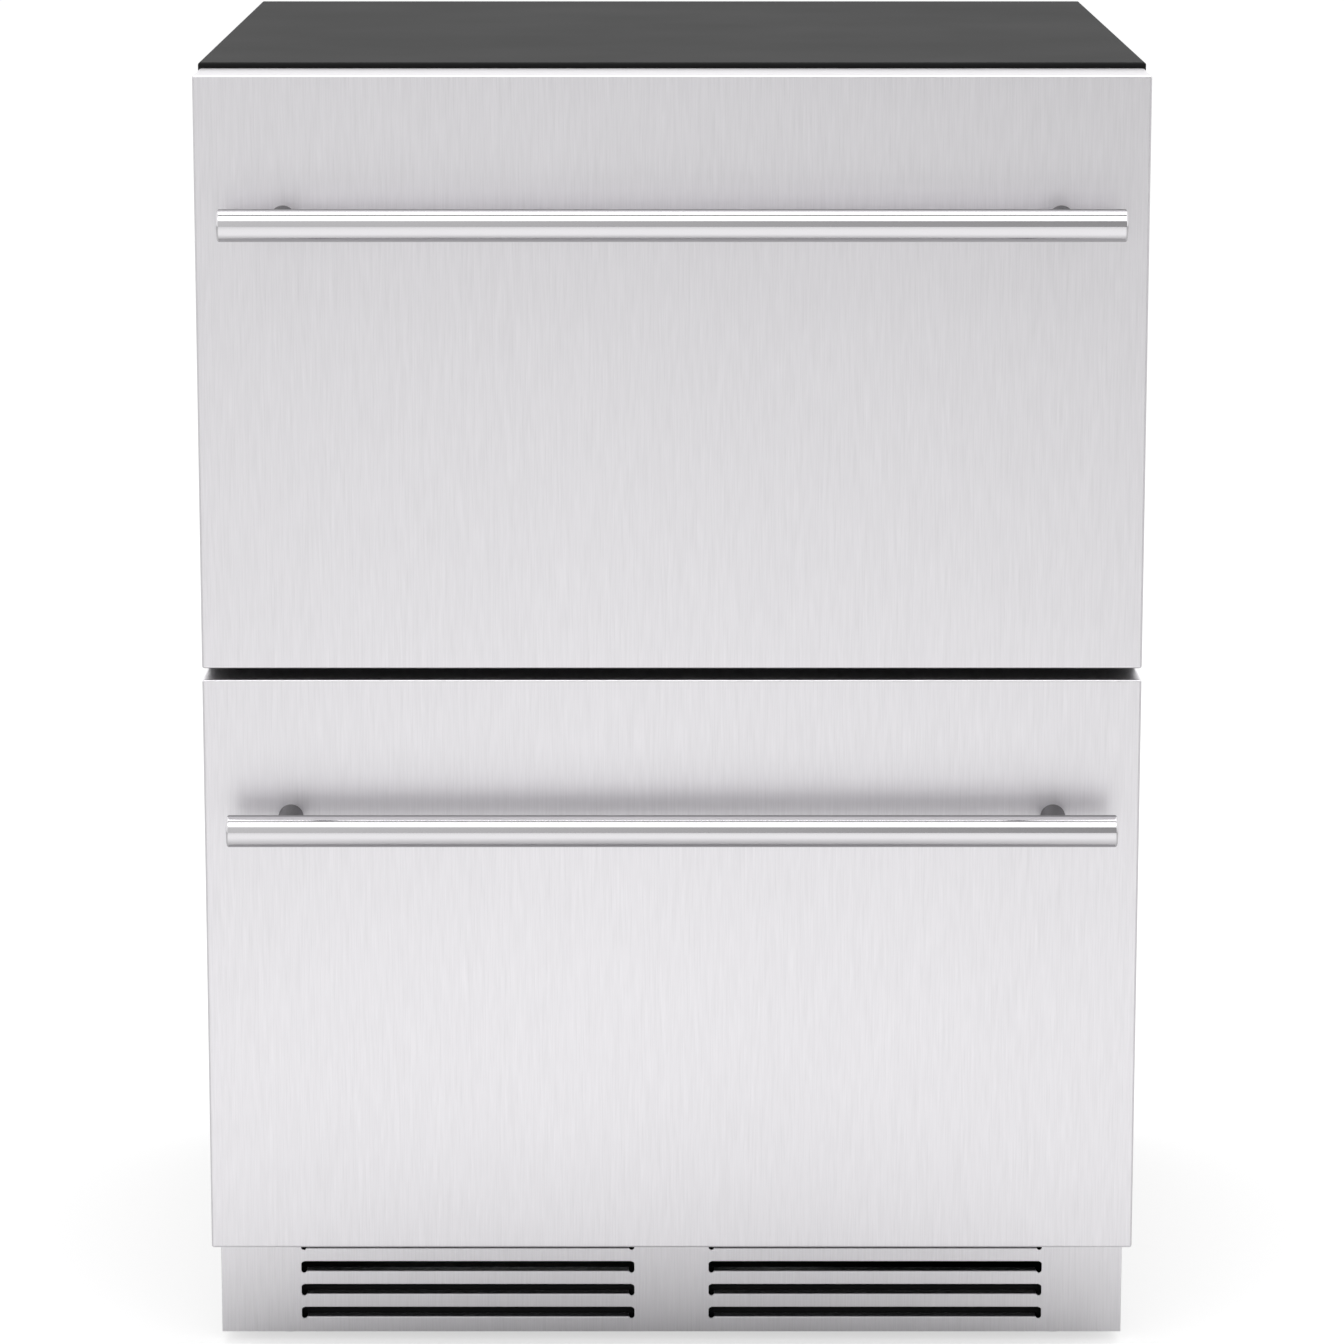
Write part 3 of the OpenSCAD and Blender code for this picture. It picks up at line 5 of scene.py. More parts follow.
import bmesh
import bpy
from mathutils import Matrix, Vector


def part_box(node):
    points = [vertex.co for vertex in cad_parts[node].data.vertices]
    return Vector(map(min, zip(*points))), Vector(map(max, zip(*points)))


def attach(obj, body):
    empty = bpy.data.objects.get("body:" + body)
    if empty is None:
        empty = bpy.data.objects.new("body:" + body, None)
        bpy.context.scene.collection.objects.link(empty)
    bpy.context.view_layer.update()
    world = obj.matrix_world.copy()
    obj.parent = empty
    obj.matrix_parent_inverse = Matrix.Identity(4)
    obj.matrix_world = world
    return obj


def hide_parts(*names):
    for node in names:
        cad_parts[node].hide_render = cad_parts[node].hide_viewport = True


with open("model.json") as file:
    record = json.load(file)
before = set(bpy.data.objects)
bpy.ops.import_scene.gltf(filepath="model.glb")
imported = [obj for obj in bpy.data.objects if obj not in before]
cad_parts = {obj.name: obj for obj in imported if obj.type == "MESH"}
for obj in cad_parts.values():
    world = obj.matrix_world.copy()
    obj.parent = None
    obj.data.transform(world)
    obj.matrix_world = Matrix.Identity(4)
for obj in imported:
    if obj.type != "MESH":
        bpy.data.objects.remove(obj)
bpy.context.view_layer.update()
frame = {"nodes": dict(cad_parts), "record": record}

MM = 0.001

# ---------------------------------------------------------------- shader groups


def add_node(tree, kind, **settings):
    """A node of a kind, with some of its settings."""
    node = tree.nodes.new(kind)
    for name, value in settings.items():
        setattr(node, name, value)
    return node


def number_node(tree, operation, a, b=None, c=None):
    """A Math node on numbers or sockets, as its output socket."""
    node = add_node(tree, "ShaderNodeMath", operation=operation)
    for socket, value in zip(node.inputs, (a, b, c)):
        if value is None:
            continue
        if isinstance(value, (int, float)):
            socket.default_value = value
        else:
            tree.links.new(value, socket)
    return node.outputs[0]


def vector_times(tree, vector, factor):
    """The product of two vectors, each a socket or three numbers."""
    node = add_node(tree, "ShaderNodeVectorMath", operation="MULTIPLY")
    for socket, value in zip(node.inputs, (vector, factor)):
        if isinstance(value, tuple):
            socket.default_value = value
        else:
            tree.links.new(value, socket)
    return node.outputs[0]


def noise(tree, vector, detail=2.0, roughness=0.5):
    """A noise value from 0 to 1 at a vector whose unit is one blob."""
    node = add_node(tree, "ShaderNodeTexNoise")
    node.inputs["Scale"].default_value = 1.0
    node.inputs["Detail"].default_value = detail
    node.inputs["Roughness"].default_value = roughness
    tree.links.new(vector, node.inputs["Vector"])
    return node.outputs["Fac"]


def smooth_step(tree, value, start, end, low, high):
    """A value eased from low to high between a start and an end."""
    span = add_node(tree, "ShaderNodeMapRange", interpolation_type="SMOOTHSTEP")
    limits = {"From Min": start, "From Max": end, "To Min": low, "To Max": high}
    for label, number in limits.items():
        span.inputs[label].default_value = number
    tree.links.new(value, span.inputs["Value"])
    return span.outputs[0]


def new_group(name, inputs, outputs):
    """An empty shader group with named inputs (kind, default) and named outputs."""
    group = bpy.data.node_groups.new(name, "ShaderNodeTree")
    for label, (kind, default) in inputs.items():
        socket = group.interface.new_socket(name=label, in_out="INPUT", socket_type=kind)
        socket.default_value = default
    for label, kind in outputs.items():
        group.interface.new_socket(name=label, in_out="OUTPUT", socket_type=kind)
    return group, add_node(group, "NodeGroupInput"), add_node(group, "NodeGroupOutput")


FLOAT = "NodeSocketFloat"
VECTOR = "NodeSocketVector"

# Broad lines are mixed into the fine ones: how dense they are beside those, and their share.
BROAD_STRETCH = (0.5, 0.5, 0.8)
BROAD_SHARE = 0.25


def make_brushed_grain():
    """Fine lines that a grinding belt leaves, as a tone round 1 and a height from 0 to 1."""
    group, given, result = new_group(
        "brushed grain",
        {"Lines": (VECTOR, (900.0, 900.0, 4.0)), "Contrast": (FLOAT, 0.06)},
        {"Tone": FLOAT, "Height": FLOAT},
    )
    place = add_node(group, "ShaderNodeTexCoord").outputs["Object"]
    fine_place = vector_times(group, place, given.outputs["Lines"])
    fine = noise(group, fine_place, 2.0, 0.6)
    broad = noise(group, vector_times(group, fine_place, BROAD_STRETCH), 1.0)
    fine_part = number_node(group, "MULTIPLY", fine, 1.0 - BROAD_SHARE)
    mixed = number_node(group, "MULTIPLY_ADD", broad, BROAD_SHARE, fine_part)
    centred = number_node(group, "SUBTRACT", mixed, 0.5)
    tone = number_node(group, "MULTIPLY_ADD", centred, given.outputs["Contrast"], 1.0)
    group.links.new(tone, result.inputs["Tone"])
    group.links.new(mixed, result.inputs["Height"])
    return group


def make_soft_clouds():
    """Slow, faint variation over a surface, such as handling marks, as a mask from 0 to 1."""
    group, given, result = new_group(
        "soft clouds",
        {"Scale": (VECTOR, (8.0, 8.0, 8.0)), "Sharpness": (FLOAT, 1.0)},
        {"Mask": FLOAT},
    )
    place = add_node(group, "ShaderNodeTexCoord").outputs["Object"]
    value = noise(group, vector_times(group, place, given.outputs["Scale"]), 3.0)
    centred = number_node(group, "SUBTRACT", value, 0.5)
    spread = number_node(group, "MULTIPLY_ADD", centred, given.outputs["Sharpness"], 0.5)
    clamped = add_node(group, "ShaderNodeClamp")
    group.links.new(spread, clamped.inputs["Value"])
    group.links.new(clamped.outputs[0], result.inputs["Mask"])
    return group


def make_fine_texture():
    """Even small-scale texture of paint or moulded plastic, as a height from 0 to 1."""
    group, given, result = new_group(
        "fine texture",
        {"Scale": (VECTOR, (700.0, 700.0, 700.0)), "Flatness": (FLOAT, 0.5)},
        {"Height": FLOAT},
    )
    place = add_node(group, "ShaderNodeTexCoord").outputs["Object"]
    value = noise(group, vector_times(group, place, given.outputs["Scale"]), 2.0, 0.55)
    height = number_node(group, "SMOOTH_MAX", value, given.outputs["Flatness"], 0.1)
    group.links.new(height, result.inputs["Height"])
    return group


def make_zinc_spangle():
    """Crystal flakes of galvanised sheet, as a tone round 1."""
    group, given, result = new_group(
        "zinc spangle",
        {"Scale": (FLOAT, 90.0), "Contrast": (FLOAT, 0.12)},
        {"Tone": FLOAT},
    )
    place = add_node(group, "ShaderNodeTexCoord").outputs["Object"]
    cells = add_node(group, "ShaderNodeTexVoronoi", feature="F1")
    group.links.new(place, cells.inputs["Vector"])
    group.links.new(given.outputs["Scale"], cells.inputs["Scale"])
    parts = add_node(group, "ShaderNodeSeparateColor")
    group.links.new(cells.outputs["Color"], parts.inputs[0])
    centred = number_node(group, "SUBTRACT", parts.outputs[0], 0.5)
    tone = number_node(group, "MULTIPLY_ADD", centred, given.outputs["Contrast"], 1.0)
    group.links.new(tone, result.inputs["Tone"])
    return group


BRUSHED_GRAIN = make_brushed_grain()
SOFT_CLOUDS = make_soft_clouds()
FINE_TEXTURE = make_fine_texture()
ZINC_SPANGLE = make_zinc_spangle()

# ---------------------------------------------------------------- finishes

BENT_EDGE = 0.5 * MM
PAINTED_EDGE = 0.8 * MM
# How bright steel shows in reflections, as a share of its own tone: painted shade, which darkens
# the fronts where the bars mirror them and the bars where the fronts mirror them.
FRONT_REFLECTION_SHADE = 0.5
BAR_REFLECTION_SHADE = 0.9


class Finish:
    """A material under construction, with its shader and a few short ways to feed it."""

    def __init__(self, name, colour, roughness, metallic=0.0, edge=BENT_EDGE, **constants):
        self.material = bpy.data.materials.new(name)
        self.material.use_nodes = True
        self.tree = self.material.node_tree
        self.shader = self.tree.nodes["Principled BSDF"]
        self.colour = (*colour, 1.0)
        self.shader.inputs["Base Color"].default_value = self.colour
        self.shader.inputs["Roughness"].default_value = roughness
        self.shader.inputs["Metallic"].default_value = metallic
        for label, value in constants.items():
            self.shader.inputs[label.replace("_", " ")].default_value = value
        if edge > 0.0:
            self.ease_edges(edge)

    def ease_edges(self, radius):
        """Shades the edges as if they were rounded."""
        self.eased = add_node(self.tree, "ShaderNodeBevel", samples=4)
        self.eased.inputs["Radius"].default_value = radius
        self.tree.links.new(self.eased.outputs[0], self.shader.inputs["Normal"])

    def group(self, shader_group, **values):
        """Places a shader group with its own values."""
        node = add_node(self.tree, "ShaderNodeGroup", node_tree=shader_group)
        for label, value in values.items():
            node.inputs[label].default_value = value
        return node

    def tint(self, *tones):
        """Base colour times tones that lie round 1."""
        tone = tones[0]
        for other in tones[1:]:
            tone = number_node(self.tree, "MULTIPLY", tone, other)
        scaled = add_node(self.tree, "ShaderNodeVectorMath", operation="SCALE")
        scaled.inputs[0].default_value = self.colour[:3]
        self.tree.links.new(tone, scaled.inputs["Scale"])
        self.tree.links.new(scaled.outputs[0], self.shader.inputs["Base Color"])

    def tint_with_painted_reflection_shade(self, tone, shade_share):
        """Base colour times a tone, with painted shade: dimmer wherever a reflection shows it."""
        path = add_node(self.tree, "ShaderNodeLightPath")
        # Painted shade: glossy rays see the base colour darkened to the given share.
        painted_shade = number_node(self.tree, "MULTIPLY_ADD", path.outputs["Is Glossy Ray"], shade_share - 1.0, 1.0)
        self.tint(tone, painted_shade)

    def roughness_range(self, mask, low, high):
        """Roughness from low to high over a mask."""
        span = add_node(self.tree, "ShaderNodeMapRange")
        span.inputs["To Min"].default_value = low
        span.inputs["To Max"].default_value = high
        self.tree.links.new(mask, span.inputs["Value"])
        self.tree.links.new(span.outputs[0], self.shader.inputs["Roughness"])

    def bump(self, height, distance):
        """Relief from a height that goes from 0 to 1 over a distance in metres."""
        node = add_node(self.tree, "ShaderNodeBump")
        node.inputs["Distance"].default_value = distance
        self.tree.links.new(height, node.inputs["Height"])
        self.tree.links.new(self.eased.outputs[0], node.inputs["Normal"])
        self.tree.links.new(node.outputs[0], self.shader.inputs["Normal"])


def brushed_stainless(name, colour):
    """Sheet ground with vertical lines, on the drawer fronts and the toe kick."""
    finish = Finish(name, colour, 0.34, 1.0)
    grain = finish.group(BRUSHED_GRAIN, Lines=(1050.0, 1050.0, 38.0), Contrast=0.22)
    clouds = finish.group(SOFT_CLOUDS, Scale=(5.0, 5.0, 2.0))
    # Painted shade: the fronts look darker where the bars mirror them.
    finish.tint_with_painted_reflection_shade(grain.outputs["Tone"], FRONT_REFLECTION_SHADE)
    finish.roughness_range(clouds.outputs["Mask"], 0.32, 0.38)
    finish.bump(grain.outputs["Height"], 0.004 * MM)
    return finish.material


def polished_steel(name, colour, roughness):
    """Bars and posts of the handles, polished along the bar, with edges that the mesh rounds."""
    finish = Finish(name, colour, roughness, 1.0, edge=0.0)
    grain = finish.group(BRUSHED_GRAIN, Lines=(2.0, 900.0, 900.0), Contrast=0.02)
    # Painted shade: the bars and posts look darker where the fronts mirror them.
    finish.tint_with_painted_reflection_shade(grain.outputs["Tone"], BAR_REFLECTION_SHADE)
    finish.roughness_range(grain.outputs["Height"], roughness - 0.003, roughness + 0.003)
    return finish.material


def black_sheet():
    """Satin black powder paint on the cabinet's sheets."""
    finish = Finish(
        "black painted sheet", (0.009, 0.009, 0.0093), 0.64,
        edge=PAINTED_EDGE, Specular_IOR_Level=0.2,
    )
    texture = finish.group(FINE_TEXTURE, Scale=(900.0, 900.0, 900.0), Flatness=0.4)
    clouds = finish.group(SOFT_CLOUDS, Scale=(7.0, 7.0, 7.0))
    finish.roughness_range(clouds.outputs["Mask"], 0.6, 0.7)
    finish.bump(texture.outputs["Height"], 0.02 * MM)
    return finish.material


def zinc_sheet():
    """Galvanised sheet, such as that of the rear."""
    finish = Finish("galvanised sheet", (0.56, 0.57, 0.58), 0.42, 1.0)
    spangle = finish.group(ZINC_SPANGLE, Scale=120.0, Contrast=0.13)
    clouds = finish.group(SOFT_CLOUDS, Scale=(12.0, 12.0, 12.0))
    finish.tint(spangle.outputs["Tone"])
    finish.roughness_range(clouds.outputs["Mask"], 0.36, 0.5)
    return finish.material


def plated_steel(name, colour, roughness, lines, contrast=0.1):
    """Zinc-plated or bare steel with faint drawing lines."""
    finish = Finish(name, colour, roughness, 1.0)
    grain = finish.group(BRUSHED_GRAIN, Lines=lines, Contrast=contrast)
    clouds = finish.group(SOFT_CLOUDS, Scale=(20.0, 20.0, 20.0))
    finish.tint(grain.outputs["Tone"])
    finish.roughness_range(clouds.outputs["Mask"], roughness - 0.05, roughness + 0.08)
    return finish.material


def moulded_plastic(name, colour, roughness, grain_depth, **constants):
    """Injection-moulded or formed plastic with a fine texture."""
    finish = Finish(name, colour, roughness, **constants)
    texture = finish.group(FINE_TEXTURE, Scale=(1100.0, 1100.0, 1100.0), Flatness=0.35)
    clouds = finish.group(SOFT_CLOUDS, Scale=(9.0, 9.0, 9.0))
    finish.roughness_range(clouds.outputs["Mask"], roughness - 0.04, roughness + 0.06)
    finish.bump(texture.outputs["Height"], grain_depth)
    return finish.material


def frosted_cover():
    """Milky diffuser of the light strips, unlit."""
    finish = Finish("light cover", (0.86, 0.87, 0.86), 0.35, Subsurface_Weight=0.2)
    texture = finish.group(FINE_TEXTURE, Scale=(600.0, 600.0, 600.0), Flatness=0.3)
    finish.bump(texture.outputs["Height"], 0.01 * MM)
    return finish.material


def foam_finish():
    """Cut polyurethane foam."""
    finish = Finish("insulating foam", (0.8, 0.68, 0.4), 0.9)
    texture = finish.group(FINE_TEXTURE, Scale=(420.0, 420.0, 420.0), Flatness=0.2)
    finish.bump(texture.outputs["Height"], 0.2 * MM)
    return finish.material


FINISHES = {
    "brushed_stainless": brushed_stainless("brushed stainless", (0.885, 0.87, 0.895)),
    "polished_stainless": polished_steel("polished stainless", (0.777, 0.765, 0.785), 0.095),
    "black_sheet": black_sheet(),
    "zinc_sheet": zinc_sheet(),
    "screws": plated_steel("screw steel", (0.6, 0.6, 0.61), 0.3, (300.0, 300.0, 300.0)),
    "foam": foam_finish(),
    "liner": moulded_plastic("liner plastic", (0.045, 0.047, 0.052), 0.42, 0.03 * MM),
    "mullion": moulded_plastic("mullion cover", (0.035, 0.036, 0.04), 0.4, 0.02 * MM),
    "spring_steel": plated_steel("spring steel", (0.5, 0.5, 0.51), 0.32, (20.0, 500.0, 500.0)),
    "dark_plastic": moulded_plastic("dark plastic", (0.02, 0.02, 0.022), 0.45, 0.02 * MM),
    "light_cover": frosted_cover(),
    "slide_steel": plated_steel(
        "plated slide steel", (0.66, 0.67, 0.68), 0.3, (900.0, 8.0, 900.0), 0.06
    ),
    "compressor_paint": moulded_plastic("compressor paint", (0.012, 0.012, 0.013), 0.3, 0.01 * MM),
    "rubber": moulded_plastic("gasket rubber", (0.03, 0.03, 0.032), 0.6, 0.01 * MM),
    "fins": plated_steel("aluminium fins", (0.75, 0.76, 0.77), 0.4, (400.0, 400.0, 30.0)),
    "motor_metal": plated_steel("motor housing", (0.45, 0.46, 0.47), 0.4, (500.0, 500.0, 500.0)),
    "copper": plated_steel("copper tube", (0.78, 0.42, 0.28), 0.3, (300.0, 300.0, 300.0)),
    "pale_plastic": moulded_plastic("pale plastic", (0.72, 0.73, 0.72), 0.38, 0.02 * MM),
    "bin_plastic": moulded_plastic("bin plastic", (0.74, 0.76, 0.78), 0.3, 0.01 * MM),
    "leg_steel": plated_steel("leg steel", (0.55, 0.55, 0.56), 0.35, (60.0, 60.0, 900.0)),
}

POST_STEEL = polished_steel("satin post steel", (0.36, 0.35, 0.365), 0.24)
# Painted light: the fronts' brushed stainless with a lighter colour, so that the toe kick shows
# brighter.
BRIGHTER_KICK_STEEL = brushed_stainless("toe kick stainless", (0.96, 0.945, 0.97))


def dress(node, material):
    """Gives a node's material slots one material."""
    for material_slot in frame["nodes"][node].material_slots:
        material_slot.material = material


for row in frame["record"]["subparts"]:
    dress(row["node"], FINISHES[row["material_slot"]])
dress("toe_kick_grille", BRIGHTER_KICK_STEEL)

# ---------------------------------------------------------------- shapes

SHARP_ANGLE = 38.0


def make_mesh(name, bm, sharp_angle=SHARP_ANGLE, closed=True):
    """A mesh with smooth shading and sharp edges above an angle in degrees."""
    if closed:
        bmesh.ops.recalc_face_normals(bm, faces=bm.faces)
    mesh = bpy.data.meshes.new(name)
    bm.to_mesh(mesh)
    bm.free()
    mesh.polygons.foreach_set("use_smooth", [True] * len(mesh.polygons))
    mesh.set_sharp_from_angle(angle=math.radians(sharp_angle))
    return mesh


def add_piece(name, mesh, slot, body, *stands_for):
    """Links a mesh as a piece that rides on a body and takes a slot's finish."""
    piece = bpy.data.objects.new(name, mesh)
    bpy.context.scene.collection.objects.link(piece)
    mesh.materials.clear()
    mesh.materials.append(FINISHES[slot])
    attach(piece, body)
    if stands_for:
        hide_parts(*stands_for)
    piece.modifiers.new("flat faces", "WEIGHTED_NORMAL").keep_sharp = True
    return piece


def thicken(piece, thickness):
    """Gives an open skin a thickness inwards, before its faces are shaded."""
    shell = piece.modifiers.new("sheet", "SOLIDIFY")
    shell.thickness = thickness
    shell.offset = -1.0
    shell.use_even_offset = True
    piece.modifiers.move(1, 0)


def box_between(bm, low, high):
    """Adds a box from corner to corner."""
    made = bmesh.ops.create_cube(bm, size=1.0)["verts"]
    size = Vector(high) - Vector(low)
    middle = (Vector(high) + Vector(low)) / 2
    for vertex in made:
        vertex.co = Vector((vertex.co[i] * size[i] + middle[i] for i in range(3)))


def circle_points(count):
    """Cosine and sine of evenly spread angles."""
    angles = [2 * math.pi * i / count for i in range(count)]
    return [(math.cos(angle), math.sin(angle)) for angle in angles]


def loft(bm, rings):
    """Joins rings of points, each a closed loop with the same count, into a closed skin."""
    rows = [[bm.verts.new(point) for point in ring] for ring in rings]
    count = len(rows[0])
    for row, following in zip(rows, rows[1:]):
        for i in range(count):
            j = (i + 1) % count
            bm.faces.new((row[i], row[j], following[j], following[i]))
    bm.faces.new(list(reversed(rows[0])))
    bm.faces.new(rows[-1])


def turned(bm, profile, origin, axis, count):
    """Adds a turned solid from (distance along the axis, radius) pairs."""
    along = Vector(axis)
    side = along.orthogonal().normalized()
    other = along.cross(side)
    rings = []
    for distance, radius in profile:
        centre = Vector(origin) + along * distance
        rings.append([centre + (side * c + other * s) * radius for c, s in circle_points(count)])
    loft(bm, rings)


def rounded_end(edge_radius, bar_radius, steps=6):
    """Profile points of a bar's rounded end, as (distance along the bar, radius) pairs."""
    points = []
    for i in range(steps + 1):
        angle = math.pi / 2 * i / steps
        distance = edge_radius * (1 - math.cos(angle))
        points.append((distance, bar_radius - edge_radius * (1 - math.sin(angle))))
    return points


# ---------------------------------------------------------------- drawer fronts

SHEET = 1.0 * MM
SAME_PLACE = 1e-6
FOLD_RADIUS = 1.5 * MM
FOLD_SEGMENTS = 6
BAR_END_RADIUS = 1.5 * MM
BAR_STEPS = 128
POST_STEPS = 72
POST_SHARP_ANGLE = 50.0
POST_FOOT_EASE = 0.4 * MM
# Rings of a post's fillet, as the distances by which they stand out from the post and the bar.
POST_FILLET = ((0.0, 0.9 * MM), (0.3 * MM, 0.25 * MM), (0.9 * MM, -0.1 * MM))
# Furthest up or down that a fillet's point rests on the bar, as a share of the bar's radius.
SEAT_LIMIT = 0.999


def front_sheet(drawer):
    """Folded stainless sheet of a drawer front, open at the rear."""
    low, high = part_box(f"{drawer}_front_skin")
    bm = bmesh.new()
    box_between(bm, low, high)
    rear = [f for f in bm.faces if all(abs(v.co.y - high.y) < SAME_PLACE for v in f.verts)]
    bmesh.ops.delete(bm, geom=rear, context="FACES")
    folds = [e for e in bm.edges if not e.is_boundary]
    bmesh.ops.bevel(
        bm, geom=folds, offset=FOLD_RADIUS, segments=FOLD_SEGMENTS, profile=0.5, affect="EDGES"
    )
    name = f"{drawer}_front_sheet"
    mesh = make_mesh(name, bm)
    body, skin = f"{drawer}_drawer", f"{drawer}_front_skin"
    thicken(add_piece(name, mesh, "brushed_stainless", body, skin), SHEET)


def handle_bar(drawer):
    """Round bar with rounded ends, and its axis's y and z and its radius."""
    low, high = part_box(f"{drawer}_handle_bar")
    radius = (high.z - low.z) / 2
    axis_y, axis_z = low.y + radius, low.z + radius
    length = high.x - low.x
    start = rounded_end(BAR_END_RADIUS, radius)
    profile = start + [(length - d, r) for d, r in reversed(start)]
    bm = bmesh.new()
    turned(bm, profile, (low.x, axis_y, axis_z), (1, 0, 0), BAR_STEPS)
    name = f"{drawer}_bar"
    mesh = make_mesh(name, bm)
    add_piece(name, mesh, "polished_stainless", f"{drawer}_drawer", f"{drawer}_handle_bar")
    return axis_y, axis_z, radius


def post_rings(x, radius, face_y, axis_y, axis_z, bar_radius):
    """Rings of a post at x, from its foot on the front to its seat on the bar."""
    circle = circle_points(POST_STEPS)
    rings = []
    for r, back in ((radius - POST_FOOT_EASE, 0.0), (radius, POST_FOOT_EASE)):
        rings.append([(x + r * c, face_y - back, axis_z + r * s) for c, s in circle])
    for outward, off_bar in POST_FILLET:
        r = radius + outward
        ring = []
        for c, s in circle:
            z = min(abs(r * s), bar_radius * SEAT_LIMIT)
            seat = math.sqrt(bar_radius * bar_radius - z * z)
            ring.append((x + r * c, axis_y + seat + off_bar, axis_z + r * s))
        rings.append(ring)
    return rings


def handle_posts(drawer, axis_y, axis_z, bar_radius):
    """Two posts that carry the bar, each with a fillet that fits it."""
    low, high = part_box(f"{drawer}_handle_posts")
    radius = (high.z - low.z) / 2
    post_x = high.x - radius
    bm = bmesh.new()
    for x in (-post_x, post_x):
        loft(bm, post_rings(x, radius, high.y, axis_y, axis_z, bar_radius))
    name = f"{drawer}_posts"
    mesh = make_mesh(name, bm, POST_SHARP_ANGLE)
    body, posts = f"{drawer}_drawer", f"{drawer}_handle_posts"
    add_piece(name, mesh, "polished_stainless", body, posts)
    mesh.materials[0] = POST_STEEL


for drawer_name in ("upper", "lower"):
    front_sheet(drawer_name)
    handle_posts(drawer_name, *handle_bar(drawer_name))

# ---------------------------------------------------------------- rear sheet

RIBS = 5
RIB_PITCH_SHARE = 0.17
RIB_LENGTH_SHARE = 0.7
RIB_HALF_WIDTH = 8.0 * MM
RIB_STEPS = 6
# Less than the sheet's thickness, so that the foam behind the sheet stays hidden.
RIB_DEPTH = 0.9 * MM


def rib_depth(x, z, rib_places, low_z, high_z):
    """Depth of the pressed ribs at a place of the sheet, with round ends and soft shoulders."""
    nearest_x = min(rib_places, key=lambda place: abs(place - x))
    nearest_z = min(max(z, low_z), high_z)
    away = math.hypot(x - nearest_x, z - nearest_z)
    part = max(0.0, 1.0 - away / RIB_HALF_WIDTH)
    return RIB_DEPTH * part * part * (3.0 - 2.0 * part)


def back_sheet():
    """Galvanised rear sheet with its upright stiffening ribs pressed inwards."""
    low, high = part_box("back_panel")
    width, height = high.x - low.x, high.z - low.z
    middle_z = (high.z + low.z) / 2
    rib_places = [(i - (RIBS - 1) / 2) * RIB_PITCH_SHARE * width for i in range(RIBS)]
    reach = RIB_LENGTH_SHARE * height / 2 - RIB_HALF_WIDTH
    steps = [RIB_HALF_WIDTH * i / RIB_STEPS for i in range(-RIB_STEPS, RIB_STEPS + 1)]
    columns = sorted([low.x, high.x] + [place + step for place in rib_places for step in steps])
    ends = [side * (reach + step) for side in (-1, 1) for step in steps[RIB_STEPS:]]
    rows = sorted([low.z, high.z] + [middle_z + end for end in ends])
    bm = bmesh.new()
    grid = []
    for z in rows:
        line = []
        for x in columns:
            depth = rib_depth(x, z, rib_places, middle_z - reach, middle_z + reach)
            line.append(bm.verts.new((x, high.y - depth, z)))
        grid.append(line)
    for line, following in zip(grid, grid[1:]):
        for i in range(len(columns) - 1):
            bm.faces.new((line[i], following[i], following[i + 1], line[i + 1]))
    name = "back_sheet"
    mesh = make_mesh(name, bm, closed=False)
    thicken(add_piece(name, mesh, "zinc_sheet", "cabinet", "back_panel"), SHEET)


back_sheet()

# ---------------------------------------------------------------- studio

WHITE = (1.0, 1.0, 1.0, 1.0)
FILL_TONE = 0.58

FLOOR_HALF = 40.0
FLOOR_TONE = 0.72
# Light that the floor adds where the camera looks at it, and at most where reflections do.
FLOOR_GLOW = 0.62
FLOOR_LIFT = 0.47
# Distances from the origin between which the floor's lift sets in.
LIFT_START, LIFT_END = 0.2, 0.9
# Half the width of the way ahead that keeps its lift, and the slope at which the lift fades
# beside it, down to a share that is left.
AHEAD_HALF = 0.35
AHEAD_LEAST = 0.1
FADE_START, FADE_END = 0.08, 0.5
LIFT_BESIDE = 0.2

# Half the width over which a card's tone passes from the left one to the right one.
CARD_FADE = 1.6


def floor_finish():
    """Pale floor that keeps the shadow, white where the camera and reflections look at it."""
    material = bpy.data.materials.new("studio floor")
    material.use_nodes = True
    tree = material.node_tree
    tree.nodes.clear()
    path = add_node(tree, "ShaderNodeLightPath")
    diffuse = add_node(tree, "ShaderNodeBsdfDiffuse")
    diffuse.inputs["Color"].default_value = (FLOOR_TONE, FLOOR_TONE, FLOOR_TONE, 1.0)
    glow = add_node(tree, "ShaderNodeEmission")
    glow.inputs["Color"].default_value = WHITE
    seen = number_node(tree, "MULTIPLY", path.outputs["Is Camera Ray"], FLOOR_GLOW)
    place = add_node(tree, "ShaderNodeTexCoord")
    far = add_node(tree, "ShaderNodeVectorMath", operation="LENGTH")
    tree.links.new(place.outputs["Object"], far.inputs[0])
    outward = smooth_step(tree, far.outputs["Value"], LIFT_START, LIFT_END, 0.0, FLOOR_LIFT)
    parts = add_node(tree, "ShaderNodeSeparateXYZ")
    tree.links.new(place.outputs["Object"], parts.inputs[0])
    aside = number_node(tree, "ABSOLUTE", parts.outputs["X"])
    ahead = number_node(tree, "ABSOLUTE", parts.outputs["Y"])
    beside = number_node(tree, "SUBTRACT", aside, AHEAD_HALF)
    slope = number_node(tree, "DIVIDE", beside, number_node(tree, "MAXIMUM", ahead, AHEAD_LEAST))
    sideways = smooth_step(tree, slope, FADE_START, FADE_END, 1.0, LIFT_BESIDE)
    lift = number_node(tree, "MULTIPLY", outward, sideways)
    mirrored = number_node(tree, "MULTIPLY_ADD", path.outputs["Is Glossy Ray"], lift, seen)
    tree.links.new(mirrored, glow.inputs["Strength"])
    both = add_node(tree, "ShaderNodeAddShader")
    tree.links.new(diffuse.outputs[0], both.inputs[0])
    tree.links.new(glow.outputs[0], both.inputs[1])
    result = add_node(tree, "ShaderNodeOutputMaterial")
    tree.links.new(both.outputs[0], result.inputs["Surface"])
    return material


